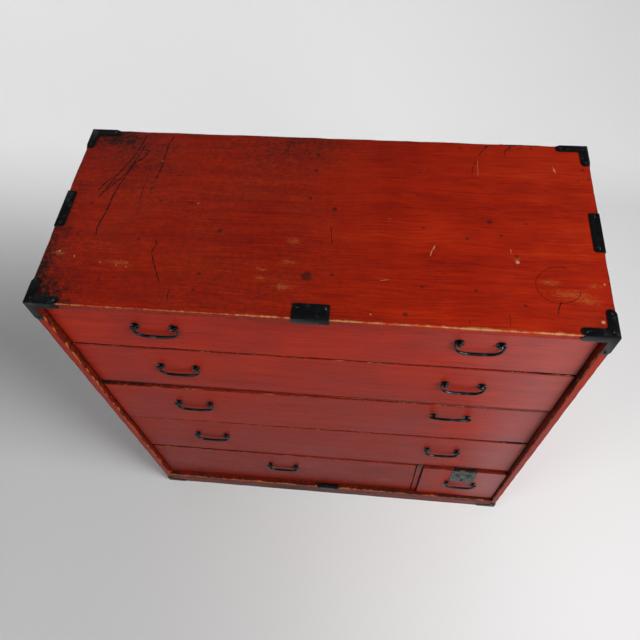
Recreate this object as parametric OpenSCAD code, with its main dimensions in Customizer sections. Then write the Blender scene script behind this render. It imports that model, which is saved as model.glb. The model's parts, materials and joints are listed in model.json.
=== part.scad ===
// Red lacquered clothes chest: four full-width drawers over a wide and a small
// lockable one, with forged iron corner mounts and hanging bail handles.
// X is the width, -Y is the front, Z is up. The origin is on the floor, under
// the centre of the case. All sizes are in millimetres.

/* [Case] */
// Width over the two side boards
case_w = 900; // [760:10:1100]
// Depth from the front edges to the back boards' outer face
case_d = 388; // [340:4:460]
// Thickness of the side boards
side_t = 13; // [11:0.5:18]
// Thickness of the top board
top_t = 13; // [11:0.5:18]
// Thickness of the bottom board
bottom_t = 13; // [11:0.5:18]
// Height of the plinth below the bottom board
plinth_h = 36; // [30:1:60]
// Thickness of the plinth board
plinth_t = 13; // [10:0.5:18]
// Thickness of the back boards
back_t = 8; // [6:0.5:12]
// Thickness of the shelf boards and of the two hidden rails
shelf_t = 8; // [6:0.5:10]
// Depth of a rail from its front edge line to its shelf board
rail_d = 24; // [18:1:40]
// Thickness of the upright between the two lowest drawers
divider_t = 13; // [10:0.5:18]
// Worn bevel along the outer edges of the boards
arris = 1; // [0.4:0.1:1.6]

/* [Drawer fronts] */
// Height of the top drawer's front
drawer_1_h = 133.5; // [120:0.5:170]
// Height of the second drawer's front
drawer_2_h = 147.5; // [125:0.5:180]
// Height of the third drawer's front
drawer_3_h = 166.5; // [130:0.5:190]
// Height of the fourth drawer's front
drawer_4_h = 178; // [130:0.5:200]
// Height of the two lowest drawers' fronts
drawer_5_h = 199.5; // [170:0.5:230]
// Width of the small lockable drawer's bay
small_bay_w = 202; // [180:1:260]
// Thickness of the drawer fronts
front_t = 14; // [12:0.5:18]
// How far the fronts sit behind the case's front edges
front_in = 12.5; // [10:0.5:18]
// Gap between a front and the board beside it
front_side_gap = 1.8; // [1.6:0.1:3]
// Gap between a front and the rail or board above or below it
front_gap = 1; // [0.6:0.1:2]
// Gap between the lowest fronts and the bottom board
sill_gap = 2; // [1:0.5:4]
// Gap between two fronts that meet over a hidden rail
meeting_gap = 4; // [2:0.5:6]
// Height of the two rails that show between fronts
rail_h = 10.8; // [8:0.2:16]
// How far the rails that show sit behind the case's front edges
rail_in = 15; // [13:0.5:20]
// How far the small drawer stands out from its neighbour
small_out = 4.5; // [0:0.5:6]
// Skew of the third drawer in its bay, in degrees
skew_3 = 0.42; // [0:0.02:0.44]
// Skew of the fourth drawer in its bay, in degrees
skew_4 = 0.2; // [0:0.02:0.44]

/* [Drawer boxes] */
// Thickness of the drawer sides
box_side_t = 9; // [7:0.5:12]
// Thickness of the drawer backs
box_back_t = 8; // [6:0.5:12]
// Thickness of the drawer bottoms
box_bottom_t = 6; // [5:0.5:9]
// Gap between a drawer's side and the case
box_side_gap = 2.4; // [2.3:0.1:4]
// Running gap between a drawer's bottom and what it slides on
run_gap = 0.3; // [0.2:0.1:1]
// Gap between a drawer's back and the back boards
box_back_gap = 4; // [2:0.5:10]
// How far the drawer sides stay below the top edge of the front
box_drop = 9; // [7:0.5:20]
// How far a side laps into its front
side_lap = 7; // [4:0.5:8]
// Length of one finger of the joint between a drawer's side and back
finger_h = 18; // [12:1:30]

/* [Handles] */
// Distance between the two eyes of a handle
pitch = 64; // [56:0.5:76]
// Distance from the case's middle to a handle on the wide drawers
handle_x = 260.5; // [180:0.5:320]
// Height of the top drawer's handles above the middle of its front
handle_1_up = 14; // [4:0.5:24]
// Height of the second drawer's handles above the middle of its front
handle_2_up = 12.5; // [4:0.5:30]
// Height of the third drawer's handles above the middle of its front
handle_3_up = 26.5; // [4:0.5:36]
// Height of the fourth drawer's handles above the middle of its front
handle_4_up = 17.5; // [4:0.5:42]
// Height of the wide lowest drawer's handle above the middle of its front
handle_5_up = 25; // [4:0.5:60]
// Height of the small drawer's handle above the middle of its front
handle_6_up = 9; // [0:0.5:10]
// How far the eyes' holes stand out from the front
eye_out = 5; // [4.8:0.1:8]
// Diameter of an eye across its hole
eye_d = 8.6; // [7.6:0.1:9]
// Width of an eye along its hole
eye_w = 6; // [5:0.5:7]
// Diameter of the hole through an eye
eye_hole_d = 3.8; // [3.6:0.1:4.4]
// Diameter of the pins at the ends of a bail
pin_d = 3.2; // [2.8:0.1:3.4]
// Diameter of the domed washer under an eye
washer_d = 16.5; // [13:0.5:19]
// Height of the domed washer under an eye
washer_t = 1.2; // [0.8:0.1:1.6]
// Diameter of the tang that goes through the front
tang_d = 4.4; // [3.4:0.2:6]
// Drop of a bail from its pins to the middle of its grip
bail_drop = 28; // [24:1:40]
// Diameter of a bail in the middle of its grip
bail_mid_d = 5.4; // [4.4:0.2:5.6]
// Diameter of a bail at its knuckles
bail_end_d = 4; // [3.4:0.2:5]
// Angle at which the third drawer's right bail stays raised
bail_raised = 152; // [90:1:160]

/* [Iron mounts] */
// Thickness of the sheet iron
iron_t = 1.2; // [0.8:0.1:2]
// Width of the corner mounts' arms
iron_w = 14; // [11:0.5:18]
// Length of the upper corner mounts' arms along the width
corner_x = 54; // [40:1:80]
// Length of the upper corner mounts' arms along the depth
corner_y = 48; // [40:1:80]
// Length of the upper corner mounts' arms down the corner
corner_z = 51; // [40:1:80]
// Length of the lower corner mounts' arms
foot_x = 48; // [36:1:70]
// Height of the lower corner mounts
foot_z = 30; // [24:1:34]
// Width of the two mounts in the middle of the front
mid_w = 58; // [40:1:90]
// Depth of the middle mount on the top board
mid_d = 27.5; // [20:0.5:40]
// Length of the two mounts on the top board's side edges
strap_l = 80; // [60:1:120]
// Width of the mounts on the top board's side edges
strap_w = 16; // [13:0.5:24]
// Diameter of a nail head
nail_d = 5.4; // [4:0.2:7]
// Height of a nail head
nail_h = 1.6; // [1:0.1:2.4]
// Length of a nail below the sheet iron
nail_l = 8; // [5:0.5:10]

/* [Lock] */
// Width of the lock plate
lock_w = 58; // [54:1:66]
// Height of the lock plate
lock_h = 80; // [70:1:84]
// Thickness of the lock plate
lock_t = 1.6; // [1:0.1:2.4]
// Width of the lock's case
lock_case_w = 46; // [40:1:56]
// Height of the lock's case
lock_case_h = 68; // [64:1:76]
// Depth of the lock's case
lock_case_d = 9; // [7.5:0.5:10]
// Width of the bolt
bolt_w = 12; // [8:1:18]
// Thickness of the bolt
bolt_t = 3.5; // [2.5:0.5:4]
// How far the bolt rises into the rail
bolt_throw = 6; // [4:0.5:7]
// Clearance around the bolt
bolt_gap = 0.3; // [0.2:0.1:0.6]

/* [Hidden] */
$fn = 32;

lacquer = [0.62, 0.12, 0.06];
lacquer_dark = [0.45, 0.08, 0.05];
bare_wood = [0.66, 0.50, 0.33];
black_iron = [0.12, 0.12, 0.13];
grey_iron = [0.36, 0.38, 0.41];

// The drawers, counted from 0 at the top; the last two share the lowest row.
WIDE = 3;
LOW = 4;
SMALL = 5;
front_h = [drawer_1_h, drawer_2_h, drawer_3_h, drawer_4_h, drawer_5_h, drawer_5_h];
handle_up = [handle_1_up, handle_2_up, handle_3_up, handle_4_up, handle_5_up, handle_6_up];

// What lies under each of the four upper fronts: a hidden rail or one that shows.
shown_line = rail_h + 2 * front_gap;
line_h = [meeting_gap, shown_line, meeting_gap, shown_line];
function rail_shows(i) = i % 2 == 1;

// Levels, from the floor up.
floor_z = plinth_h + bottom_t;
function row_z(i) =
  i >= LOW ? floor_z + sill_gap : row_z(i + 1) + front_h[i + 1] + line_h[i];
ceiling_z = row_z(0) + drawer_1_h + front_gap;
case_h = ceiling_z + top_t;

// A hidden rail is centred on its line, and one that shows fills it.
function rail_top(i) =
  rail_shows(i) ? row_z(i) - front_gap : row_z(i) - line_h[i] / 2 + shelf_t / 2;
function rail_height(i) = rail_shows(i) ? rail_h : shelf_t;
function run_top(i) = i >= LOW ? floor_z : rail_top(i);

// Places across the width and the depth.
front_y = -case_d / 2;
back_y = case_d / 2;
half_in = case_w / 2 - side_t;
small_left = half_in - small_bay_w;
divider_left = small_left - divider_t;
bay_left = [-half_in, -half_in, -half_in, -half_in, -half_in, small_left];
bay_right = [half_in, half_in, half_in, half_in, divider_left, half_in];
skew = [0, 0, skew_3, skew_4, 0, 0];
set_in = [front_in, front_in, front_in, front_in, front_in, front_in - small_out];
// A hidden rail leaves room behind the fronts for their skew.
skew_room = 5;
bearer_in = front_in + front_t + skew_room;
bearer_back = bearer_in + rail_d;
rail_under = rail_top(WIDE) - rail_h;
shelf_under = rail_top(WIDE) - shelf_t;

function mid_x(i) = (bay_left[i] + bay_right[i]) / 2;
function front_w(i) = bay_right[i] - bay_left[i] - 2 * front_side_gap;
function box_w(i) = bay_right[i] - bay_left[i] - 2 * box_side_gap;
box_l = case_d - back_t - box_back_gap - front_in;
// A skewed drawer turns about a point this far behind its face.
skew_share = 0.39;
skew_y = skew_share * box_l;
// The underside of a drawer box, from the lower edge of its front.
function lift(i) = run_top(i) + run_gap - row_z(i);

// Handle centres on each drawer, from the middle of its front.

// How far each handle sits off its even place, across and up. They were set by eye.
handle_off = [
  [[-2.5, -5], [2.5, 5]],
  [[3.5, -2], [-0.5, 2]],
  [[-2, -7], [-4, 7]],
  [[1, -1.5], [4.5, 1.5]],
  [[-4, 0]],
  [[0.5, 0]],
];
// Middles of the handles on drawer i, across and up from the bay's lower middle.
function handles(i) = let (xs = i <= WIDE ? [-handle_x - mid_x(i), handle_x - mid_x(i)] : [0])
  [for (k = [0:len(xs) - 1]) [xs[k], front_h[i] / 2 + handle_up[i]] + handle_off[i][k]];

// A board along X with its four long edges bevelled.
module board_x(size, bevel = arris) {
  multmatrix([[0, 0, 1, 0], [1, 0, 0, 0], [0, 1, 0, 0]])
    linear_extrude(size[0]) bevelled([size[1], size[2]], bevel);
}

// An upright board with its four upright edges bevelled.
module board_z(size, bevel = arris) {
  linear_extrude(size[2]) bevelled([size[0], size[1]], bevel);
}

module bevelled(size, b) {
  polygon([
    [b, 0], [size[0] - b, 0], [size[0], b], [size[0], size[1] - b],
    [size[0] - b, size[1]], [b, size[1]], [0, size[1] - b], [0, b]
  ]);
}

// --- Case -----------------------------------------------------------------

// Shrinkage gap between two back boards.
board_gap = 0.4;

module top_board() {
  color(lacquer) difference() {
    translate([-case_w / 2, front_y, ceiling_z]) board_x([case_w, case_d, top_t]);
    nail_holes();
  }
}

module bottom_board() {
  color(lacquer_dark) difference() {
    translate([-half_in, front_y, plinth_h])
      board_x([2 * half_in, case_d - back_t, bottom_t], arris / 2);
    sill_leg();
    nail_holes();
  }
}

module side_board() {
  difference() {
    translate([half_in, front_y, 0]) board_z([side_t, case_d, ceiling_z]);
    nail_holes();
  }
}

module left_side() {
  color(lacquer) mirror([1, 0, 0]) side_board();
}

module right_side() {
  color(lacquer) side_board();
}

// Three horizontal boards close the back between the sides.
BACK_BOARDS = 3;
module back_boards() {
  step = ceiling_z / BACK_BOARDS;
  color(bare_wood) difference() {
    for (i = [0:BACK_BOARDS - 1]) translate([-half_in, back_y - back_t, i * step])
      cube([2 * half_in, back_t, step - (i < BACK_BOARDS - 1 ? board_gap : 0)]);
    nail_holes();
  }
}

module plinth_board() {
  color(lacquer) difference() {
    translate([-half_in, front_y, 0]) board_x([2 * half_in, plinth_t, plinth_h], arris / 2);
    nail_holes();
  }
}

module divider() {
  color(lacquer_dark) translate([divider_left, front_y + front_in, floor_z])
    difference() {
      board_z([divider_t, case_d - back_t - front_in, rail_top(WIDE) - floor_z], arris / 2);
      // notches for the rail and the shelf board above
      translate([-1, rail_in - front_in, rail_under - floor_z])
        cube([divider_t + 2, bearer_back - rail_in, rail_h + 1]);
      translate([-1, bearer_back - front_in - 1, shelf_under - floor_z])
        cube([divider_t + 2, case_d, shelf_t + 1]);
    }
}

module rail(i) {
  y_in = rail_shows(i) ? rail_in : bearer_in;
  color(lacquer_dark) difference() {
    translate([-half_in, front_y + y_in, rail_top(i) - rail_height(i)])
      board_x([2 * half_in, bearer_back - y_in, rail_height(i)], arris / 2);
    // mortise for the raised bolt
    if (i == WIDE) in_bay(SMALL) bolt_slot(drawer_5_h, bolt_top + bolt_throw + 1);
  }
}

module shelf_boards() {
  color(bare_wood) for (i = [0:WIDE])
    translate([-half_in, front_y + bearer_back, rail_top(i) - shelf_t])
      cube([2 * half_in, case_d - back_t - bearer_back, shelf_t]);
}

// --- Sheet iron mounts ----------------------------------------------------

nail_shank_d = 2.2;
nail_hole_gap = 0.1;
// From a mount's end to its last nail, and on to the nail beside it.
nail_in = 7.5;
nail_step = 8.5;
scallop = 5;
// How much of a board's edge a mount leaves bare.
edge_left = 0.5;

// A flat plate with the two corners away from the edge rounded.
module tongue(w, l, r = 4) {
  translate([-w / 2, 0]) square([w, l - r]);
  translate([-w / 2 + r, 0]) square([w - 2 * r, l]);
  for (s = [-1, 1]) translate([s * (w / 2 - r), l - r]) circle(r);
}

// An L of two arms with round ends: one a long and wa wide, one b long and wb wide.
module ell(a, b, wa, wb) {
  square([a - wa / 2, wa]);
  square([wb, b - wb / 2]);
  translate([a - wa / 2, wa / 2]) circle(wa / 2);
  translate([wb / 2, b - wb / 2]) circle(wb / 2);
}

// The same with arms of one width and a scalloped inner corner.
module scalloped_ell(a, b, w) {
  reach = w + scallop;
  ell(a, b, w, w);
  difference() {
    square(reach);
    translate([reach, reach]) circle(scallop);
  }
}

// Turns a drawing so that its X and Y lie along two axes of a corner: on the
// top face, the front face or the side face, growing outward by iron_t.
module on_top() {
  linear_extrude(iron_t) children();
}
module on_front() {
  multmatrix([[1, 0, 0, 0], [0, 0, -1, 0], [0, -1, 0, 0]]) linear_extrude(iron_t) children();
}
module on_side() {
  multmatrix([[0, 0, -1, 0], [1, 0, 0, 0], [0, -1, 0, 0]]) linear_extrude(iron_t) children();
}

// Upper corner mount for the corner at the origin, with arms toward +X, +Y, -Z.
module upper_corner() {
  on_top() scalloped_ell(corner_x, corner_y, iron_w);
  on_front() ell(corner_x, corner_z, top_t, side_t);
  on_side() scalloped_ell(corner_y, corner_z, iron_w);
  corner_folds(corner_x - top_t / 2, corner_y - iron_w / 2, corner_z - iron_w / 2);
}

// The folded edges that close the three plates of a corner mount.
module corner_folds(x, y, z) {
  translate([-iron_t, -iron_t, 0]) cube([x + iron_t, iron_t, iron_t]);
  translate([-iron_t, -iron_t, 0]) cube([iron_t, y + iron_t, iron_t]);
  translate([-iron_t, -iron_t, -z]) cube([iron_t, iron_t, z]);
}

module at_corners() {
  for (x = [0, 1], y = [0, 1]) mirror([x, 0, 0]) mirror([0, y, 0])
    translate([-case_w / 2, front_y, 0]) children();
}

module top_corner_irons() {
  color(black_iron) difference() {
    at_corners() translate([0, 0, case_h]) upper_corner();
    nail_holes();
  }
}

// Lower corner mounts: one L on the front or back and one on the side.
module foot_corner_irons() {
  color(black_iron) difference() {
    at_corners() mirror([0, 0, 1]) {
      on_front() scalloped_ell(foot_x, foot_z, side_t);
      on_side() scalloped_ell(foot_x, foot_z, iron_w);
      translate([-iron_t, -iron_t, -foot_z + iron_w / 2])
        cube([iron_t, iron_t, foot_z - iron_w / 2]);
    }
    nail_holes();
  }
}

// The leg of the lower middle mount that is let in flush with the bottom board.
module sill_leg() {
  translate([0, front_y, floor_z - iron_t])
    on_top() tongue(mid_w, front_in - front_gap, 3);
}

module edge_irons() {
  color(black_iron) difference() {
    union() {
      // middle of the top board's front edge
      translate([0, front_y, case_h]) {
        on_top() tongue(mid_w, mid_d);
        on_front() tongue(mid_w, top_t - edge_left, 2);
        translate([-mid_w / 2, -iron_t, 0]) cube([mid_w, iron_t, iron_t]);
      }
      // middle of the bottom board's front edge
      sill_leg();
      translate([0, front_y, floor_z]) on_front() tongue(mid_w, bottom_t - edge_left, 2);
      // middle of the top board's two side edges
      for (x = [0, 1]) mirror([x, 0, 0]) translate([-case_w / 2, 0, case_h]) {
        on_top() rotate(-90) tongue(strap_l, strap_w);
        on_side() tongue(strap_l, strap_w);
        translate([-iron_t, -strap_l / 2, 0]) cube([iron_t, strap_l, iron_t]);
      }
    }
    nail_holes();
  }
}

// Places of the nails in a mount: [place, direction into the wood]. The nails
// on neighbouring faces are staggered, so that they miss each other in the wood.
upper_nails = [
  [[corner_x - nail_in, iron_w / 2, 0], [0, 0, -1]],
  [[iron_w / 2, corner_y - nail_in, 0], [0, 0, -1]],
  [[iron_w / 2 + 2, iron_w / 2 + 2, 0], [0, 0, -1]],
  [[side_t / 2, 0, -corner_z + nail_in], [0, 1, 0]],
  [[0, corner_y - nail_in - nail_step, -iron_w / 2], [1, 0, 0]],
  [[0, iron_w / 2, -corner_z + nail_in + nail_step], [1, 0, 0]]
];
lower_nails = [
  [[foot_x - nail_in, 0, side_t / 2], [0, 1, 0]],
  [[side_t / 2, 0, foot_z - nail_in], [0, 1, 0]],
  [[0, foot_x - nail_in, iron_w / 2], [1, 0, 0]],
  [[0, iron_w / 2, foot_z - nail_in - nail_step], [1, 0, 0]]
];
mid_nails = [
  for (x = [-1, 1]) [[x * (mid_w / 2 - nail_in), mid_d - nail_in, 0], [0, 0, -1]]
];
sill_nails = [
  for (x = [-1, 1]) [[x * (mid_w / 2 - nail_in), 0, -bottom_t / 2], [0, 1, 0]]
];
strap_nails = [
  for (y = [-1, 1]) each [
    [[strap_w / 2, y * (strap_l / 2 - nail_in), 0], [0, 0, -1]],
    [[0, y * (strap_l / 2 - nail_in - nail_step), -strap_w / 2], [1, 0, 0]]
  ]
];

// Lays its child, drawn along -Z from the wood's surface, at each place.
module at_nails(places) {
  for (n = places) translate(n[0]) rotate([n[1][1] * 90, -n[1][0] * 90, 0]) children();
}

module all_nail_places() {
  at_corners() {
    translate([0, 0, case_h]) at_nails(upper_nails) children();
    at_nails(lower_nails) children();
  }
  translate([0, front_y, case_h]) at_nails(mid_nails) children();
  translate([0, front_y, floor_z]) at_nails(sill_nails) children();
  for (x = [0, 1]) mirror([x, 0, 0]) translate([-case_w / 2, 0, case_h])
    at_nails(strap_nails) children();
}

module nail_holes() {
  all_nail_places() translate([0, 0, -nail_l - 1])
    cylinder(d = nail_shank_d + 2 * nail_hole_gap, h = nail_l + iron_t + 2);
}

module dome(d, h) {
  r = (d * d / 4 + h * h) / (2 * h);
  intersection() {
    translate([0, 0, h - r]) sphere(r);
    cylinder(d = d, h = h);
  }
}

module iron_nails() {
  color(black_iron) all_nail_places() {
    translate([0, 0, -nail_l]) cylinder(d = nail_shank_d, h = nail_l + iron_t);
    translate([0, 0, iron_t]) dome(nail_d, nail_h);
  }
}

// --- Drawers --------------------------------------------------------------

// Puts a drawer's own frame in the case: X from the middle of its front, Y
// back from its face and Z up from the lower edge of its front.
module in_bay(i) {
  translate([mid_x(i), front_y + set_in[i] + skew_y, row_z(i)])
    rotate(skew[i]) translate([0, -skew_y, 0]) children();
}

module drawer_front(i) {
  w = front_w(i);
  bw = box_w(i);
  side_z = lift(i) + box_bottom_t;
  color(lacquer) in_bay(i) difference() {
    translate([-w / 2, 0, 0]) board_x([w, front_t, front_h[i]]);
    // laps for the sides
    for (s = [0, 1]) mirror([s, 0, 0])
      translate([bw / 2 - box_side_t, front_t - side_lap, side_z])
        cube([box_side_t + w, side_lap + 1, front_h[i] - box_drop - side_z]);
    at_eyes(i) rotate([-90, 0, 0]) translate([0, 0, -1])
      cylinder(d = tang_d + 2 * tang_gap, h = front_t + 2);
    if (i == SMALL) lock_room();
  }
}

module drawer_sides(i) {
  bw = box_w(i);
  z0 = lift(i) + box_bottom_t;
  h = front_h[i] - box_drop - z0;
  color(bare_wood) in_bay(i) for (s = [0, 1]) mirror([s, 0, 0]) difference() {
    translate([bw / 2 - box_side_t, front_t - side_lap, z0])
      cube([box_side_t, box_l - front_t + side_lap, h]);
    back_fingers(i, 0);
  }
}

// The fingers of a back that pass through the sides. Every second one is the
// back's (first = 1), and the others are the sides' (first = 0 cuts them out).
module back_fingers(i, first) {
  z0 = lift(i) + box_bottom_t;
  h = front_h[i] - box_drop - z0;
  n = 2 * floor(h / finger_h / 2) + 1;
  for (k = [1:2:n - 1])
    translate([box_w(i) / 2 - box_side_t, box_l - box_back_t, z0 + k * h / n])
      cube([box_side_t + 1 - first, box_back_t + 1 - first, h / n]);
}

module drawer_back(i) {
  inner = box_w(i) / 2 - box_side_t;
  z0 = lift(i) + box_bottom_t;
  color(bare_wood) in_bay(i) {
    translate([-inner, box_l - box_back_t, z0])
      cube([2 * inner, box_back_t, front_h[i] - box_drop - z0]);
    for (s = [0, 1]) mirror([s, 0, 0]) back_fingers(i, 1);
  }
}

module drawer_bottom(i) {
  color(bare_wood) in_bay(i) translate([-box_w(i) / 2, front_t, lift(i)])
    cube([box_w(i), box_l - front_t, box_bottom_t]);
}

// --- Handles --------------------------------------------------------------

tang_gap = 0.2;
// Length of a tang's two legs along the inside of the front.
leg_l = 13;
leg_t = 1.4;
tip_d = 2;
tip_l = 2.5;

module at_eyes(i) {
  for (p = handles(i), s = [-1, 1])
    translate([p[0] + s * pitch / 2, 0, p[1]]) children();
}

// A forged eye on its washer. The tang goes through the front, and its two
// legs are clenched up and down on the inside.
module drawer_eyes(i) {
  color(black_iron) in_bay(i) at_eyes(i) {
    difference() {
      union() {
        translate([0, -eye_out, 0]) rotate([0, 90, 0]) eye();
        rotate([-90, 0, 0]) translate([0, 0, -eye_out])
          cylinder(d = tang_d, h = eye_out + front_t + leg_t);
        for (s = [-1, 1]) translate([-tang_d / 2, front_t, s > 0 ? 0 : -leg_l])
          cube([tang_d, leg_t, leg_l]);
      }
      translate([-eye_w, -eye_out, 0]) rotate([0, 90, 0])
        cylinder(d = eye_hole_d, h = 2 * eye_w);
    }
    rotate([90, 0, 0]) washer();
  }
}

module eye() {
  rotate_extrude() intersection() {
    circle(d = eye_d);
    translate([0, -eye_w / 2]) square([eye_d, eye_w]);
  }
}

module washer() {
  difference() {
    dome(washer_d, washer_t);
    translate([0, 0, -1]) cylinder(d = tang_d + 2 * tang_gap, h = washer_t + 2);
  }
}

// --- Bails ----------------------------------------------------------------

knuckle_d = 5;
knuckle_gap = 0.4;
knuckle_x = pitch / 2 + eye_w / 2 + knuckle_gap + knuckle_d / 2;
pin_in = pitch / 2 - eye_w / 2 - tip_l;
BAIL_STEPS = 28;
BAIL_SIDES = 8;

// The grip follows a rounded U: t runs from 0 at one knuckle to 180 at the other.
function u_pow(v) = sign(v) * pow(abs(v), 0.62);
function u_point(t) = [knuckle_x * u_pow(cos(t)), -bail_drop * u_pow(sin(t))];
function u_radius(t) = (bail_end_d + (bail_mid_d - bail_end_d) * sin(t)) / 2;
function u_along(t) = let (v = u_point(min(t + 1, 180)) - u_point(max(t - 1, 0))) v / norm(v);
function bail_ring(t) = let (p = u_point(t), d = u_along(t), r = u_radius(t)) [
  for (k = [0:BAIL_SIDES - 1]) let (a = 360 * (k + 0.5) / BAIL_SIDES)
    [p[0] - d[1] * r * cos(a), r * sin(a), p[1] + d[0] * r * cos(a)]
];

// One bail hanging from the X axis. Its pins pass inward through the eyes.
module bail_shape() {
  n = BAIL_SIDES;
  rings = [for (k = [0:BAIL_STEPS]) bail_ring(180 * k / BAIL_STEPS)];
  points = [for (r = rings) each r];
  walls = [for (k = [0:BAIL_STEPS - 1], j = [0:n - 1]) each [
    [k * n + j, k * n + (j + 1) % n, (k + 1) * n + j],
    [k * n + (j + 1) % n, (k + 1) * n + (j + 1) % n, (k + 1) * n + j]
  ]];
  ends = [[for (j = [n - 1:-1:0]) j], [for (j = [0:n - 1]) BAIL_STEPS * n + j]];
  polyhedron(points, concat(walls, ends));
  for (s = [0, 1]) mirror([s, 0, 0]) {
    translate([knuckle_x, 0, 0]) sphere(d = knuckle_d);
    translate([pin_in, 0, 0]) rotate([0, 90, 0]) cylinder(d = pin_d, h = knuckle_x - pin_in);
    translate([pin_in - tip_l, 0, 0]) rotate([0, 90, 0])
      cylinder(d1 = tip_d, d2 = pin_d, h = tip_l);
  }
}

// A bail on drawer i at its h-th handle place, raised by an angle.
module bail(i, h = 0, raised = 0) {
  p = handles(i)[h];
  color(black_iron) in_bay(i) translate([p[0], -eye_out, p[1]])
    rotate([-raised, 0, 0]) bail_shape();
}

// --- Lock -----------------------------------------------------------------

// The lock is centred on the small drawer's front, just below its top edge. All
// heights are from the lower edge of the front.
lock_top = drawer_5_h - 1.5;
lock_bottom = lock_top - lock_h;
keyhole_down = 56;
keyhole_z = lock_top - keyhole_down;
keyhole_d = 5.2;
keyhole_l = 15;
case_top = drawer_5_h - 6;
case_bottom = case_top - lock_case_h;
case_y = front_t - lock_case_d;
bolt_top = drawer_5_h - 0.4;
bolt_bottom = keyhole_z - 2;
bolt_slot_w = bolt_w + 2 * bolt_gap;
bolt_slot_t = bolt_t + 2 * bolt_gap;
// Wood left between the rail's face and the mortise for the bolt.
strike_wall = 1.6;
bolt_slot_y = rail_in + strike_wall - set_in[SMALL];
strike_w = lock_w - 12;
// Gap between the lock plate and the washers of the handle below it.
plate_gap = 2.5;
boss_d = 14;
boss_h = 2.4;
// Bosses and nails on the plate, from its middle and its top edge.
boss_at = [12.5, 29];
plate_nails_at = [[lock_w / 2 - 4.5, 8], [lock_w / 2 - 6.5, 45]];

module keyhole(gap = 0) {
  circle(d = keyhole_d + gap);
  translate([-keyhole_d / 3 - gap / 2, -keyhole_l]) square([keyhole_d / 1.5 + gap, keyhole_l]);
}

// The plate's outline: a wide upper part with round shoulders, and a narrower
// lower part with three lobes that hangs between the eyes of the handle.
module plate_outline() {
  shoulder = max(0, handles(SMALL)[0][1] + washer_d / 2 + plate_gap - lock_bottom);
  low_half = (pitch - washer_d) / 2 - plate_gap;
  big = lock_w / 4;
  small = low_half / 2;
  translate([-lock_w / 2, shoulder + big]) square([lock_w, lock_h - shoulder - big]);
  for (s = [-1, 1]) translate([s * (lock_w / 2 - big), shoulder + big]) circle(big);
  translate([-low_half, small]) square([2 * low_half, shoulder + big - small]);
  for (s = [-1:1]) translate([s * (low_half - small), small]) circle(small);
}

module lock_plate() {
  color(grey_iron) in_bay(SMALL) translate([0, 0, lock_bottom])
    rotate([90, 0, 0]) difference() {
      union() {
        linear_extrude(lock_t) plate_outline();
        for (s = [-1, 1]) translate([s * boss_at[0], lock_h - boss_at[1], lock_t])
          dome(boss_d, boss_h);
        for (s = [-1, 1], n = plate_nails_at) translate([s * n[0], lock_h - n[1], lock_t])
          dome(nail_d, nail_h);
      }
      translate([0, keyhole_z - lock_bottom, -1]) linear_extrude(lock_t + 2) keyhole();
    }
}

// The case lies in a mortise cut from the back of the front.
module lock_case() {
  color(grey_iron) in_bay(SMALL) difference() {
    translate([-lock_case_w / 2, case_y, case_bottom])
      cube([lock_case_w, lock_case_d, lock_case_h]);
    // channel for the bolt, open at the top
    bolt_slot(bolt_bottom - bolt_gap, case_top + 1);
    // the key's way in
    translate([0, case_y - 1, keyhole_z]) rotate([-90, 0, 0])
      linear_extrude(bolt_slot_y - case_y + 1.5) mirror([0, 1]) keyhole();
  }
}

// Room for the bolt between two heights.
module bolt_slot(low, high) {
  translate([-bolt_slot_w / 2, bolt_slot_y, low]) cube([bolt_slot_w, bolt_slot_t, high - low]);
}

module lock_bolt() {
  notch_w = bolt_w / 2;
  notch_h = 5;
  color(grey_iron) in_bay(SMALL) difference() {
    translate([-bolt_w / 2, bolt_slot_y + bolt_gap, bolt_bottom])
      cube([bolt_w, bolt_t, bolt_top - bolt_bottom]);
    // notch that the key's bit lifts
    translate([-notch_w / 2, bolt_slot_y, keyhole_z + keyhole_d / 2])
      cube([notch_w, bolt_slot_t, notch_h]);
  }
}

// What the lock takes out of the small drawer's front.
module lock_room() {
  translate([-lock_case_w / 2, case_y, case_bottom])
    cube([lock_case_w, lock_case_d + 1, lock_case_h]);
  bolt_slot(case_top - 1, drawer_5_h + 1);
  translate([0, -1, keyhole_z]) rotate([-90, 0, 0])
    linear_extrude(front_t) mirror([0, 1]) keyhole(1);
}

// The plate on the rail's face above the lock.
module lock_strike() {
  h = rail_h - 2 * edge_left;
  color(black_iron) translate([mid_x(SMALL), front_y + rail_in, rail_under + rail_h / 2])
    rotate([90, 0, 0]) {
      translate([-strike_w / 2, -h / 2, 0]) cube([strike_w, h, iron_t]);
      for (s = [-1, 1]) translate([s * (strike_w / 2 - nail_d), 0, iron_t]) dome(nail_d, nail_h / 2);
    }
}

// --- Nodes ----------------------------------------------------------------

top_board();
bottom_board();
left_side();
right_side();
back_boards();
plinth_board();
divider();
shelf_boards();
top_corner_irons();
foot_corner_irons();
edge_irons();
iron_nails();
lock_strike();
for (i = [0:WIDE]) rail(i);
for (i = [0:SMALL]) {
  drawer_front(i);
  drawer_sides(i);
  drawer_back(i);
  drawer_bottom(i);
  drawer_eyes(i);
}
for (i = [0:WIDE]) {
  bail(i, 0);
  bail(i, 1, i == 2 ? bail_raised : 0);
}
bail(LOW);  // bail_5
bail(SMALL);  // bail_6
lock_plate();
lock_case();
lock_bolt();
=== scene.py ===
"""Dresses the CAD model of a red lacquered clothes chest.

The boards become worn, lacquered or bare boards, the mounts, nails, handles and lock become forged and
sheet iron, and a plain studio stands round them. Lengths are in millimetres until a mesh is made.
"""

import json
import math
import random

import bmesh
import bpy
from bpy.props import FloatProperty, FloatVectorProperty, PointerProperty
from mathutils import Matrix, Vector, noise

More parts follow.
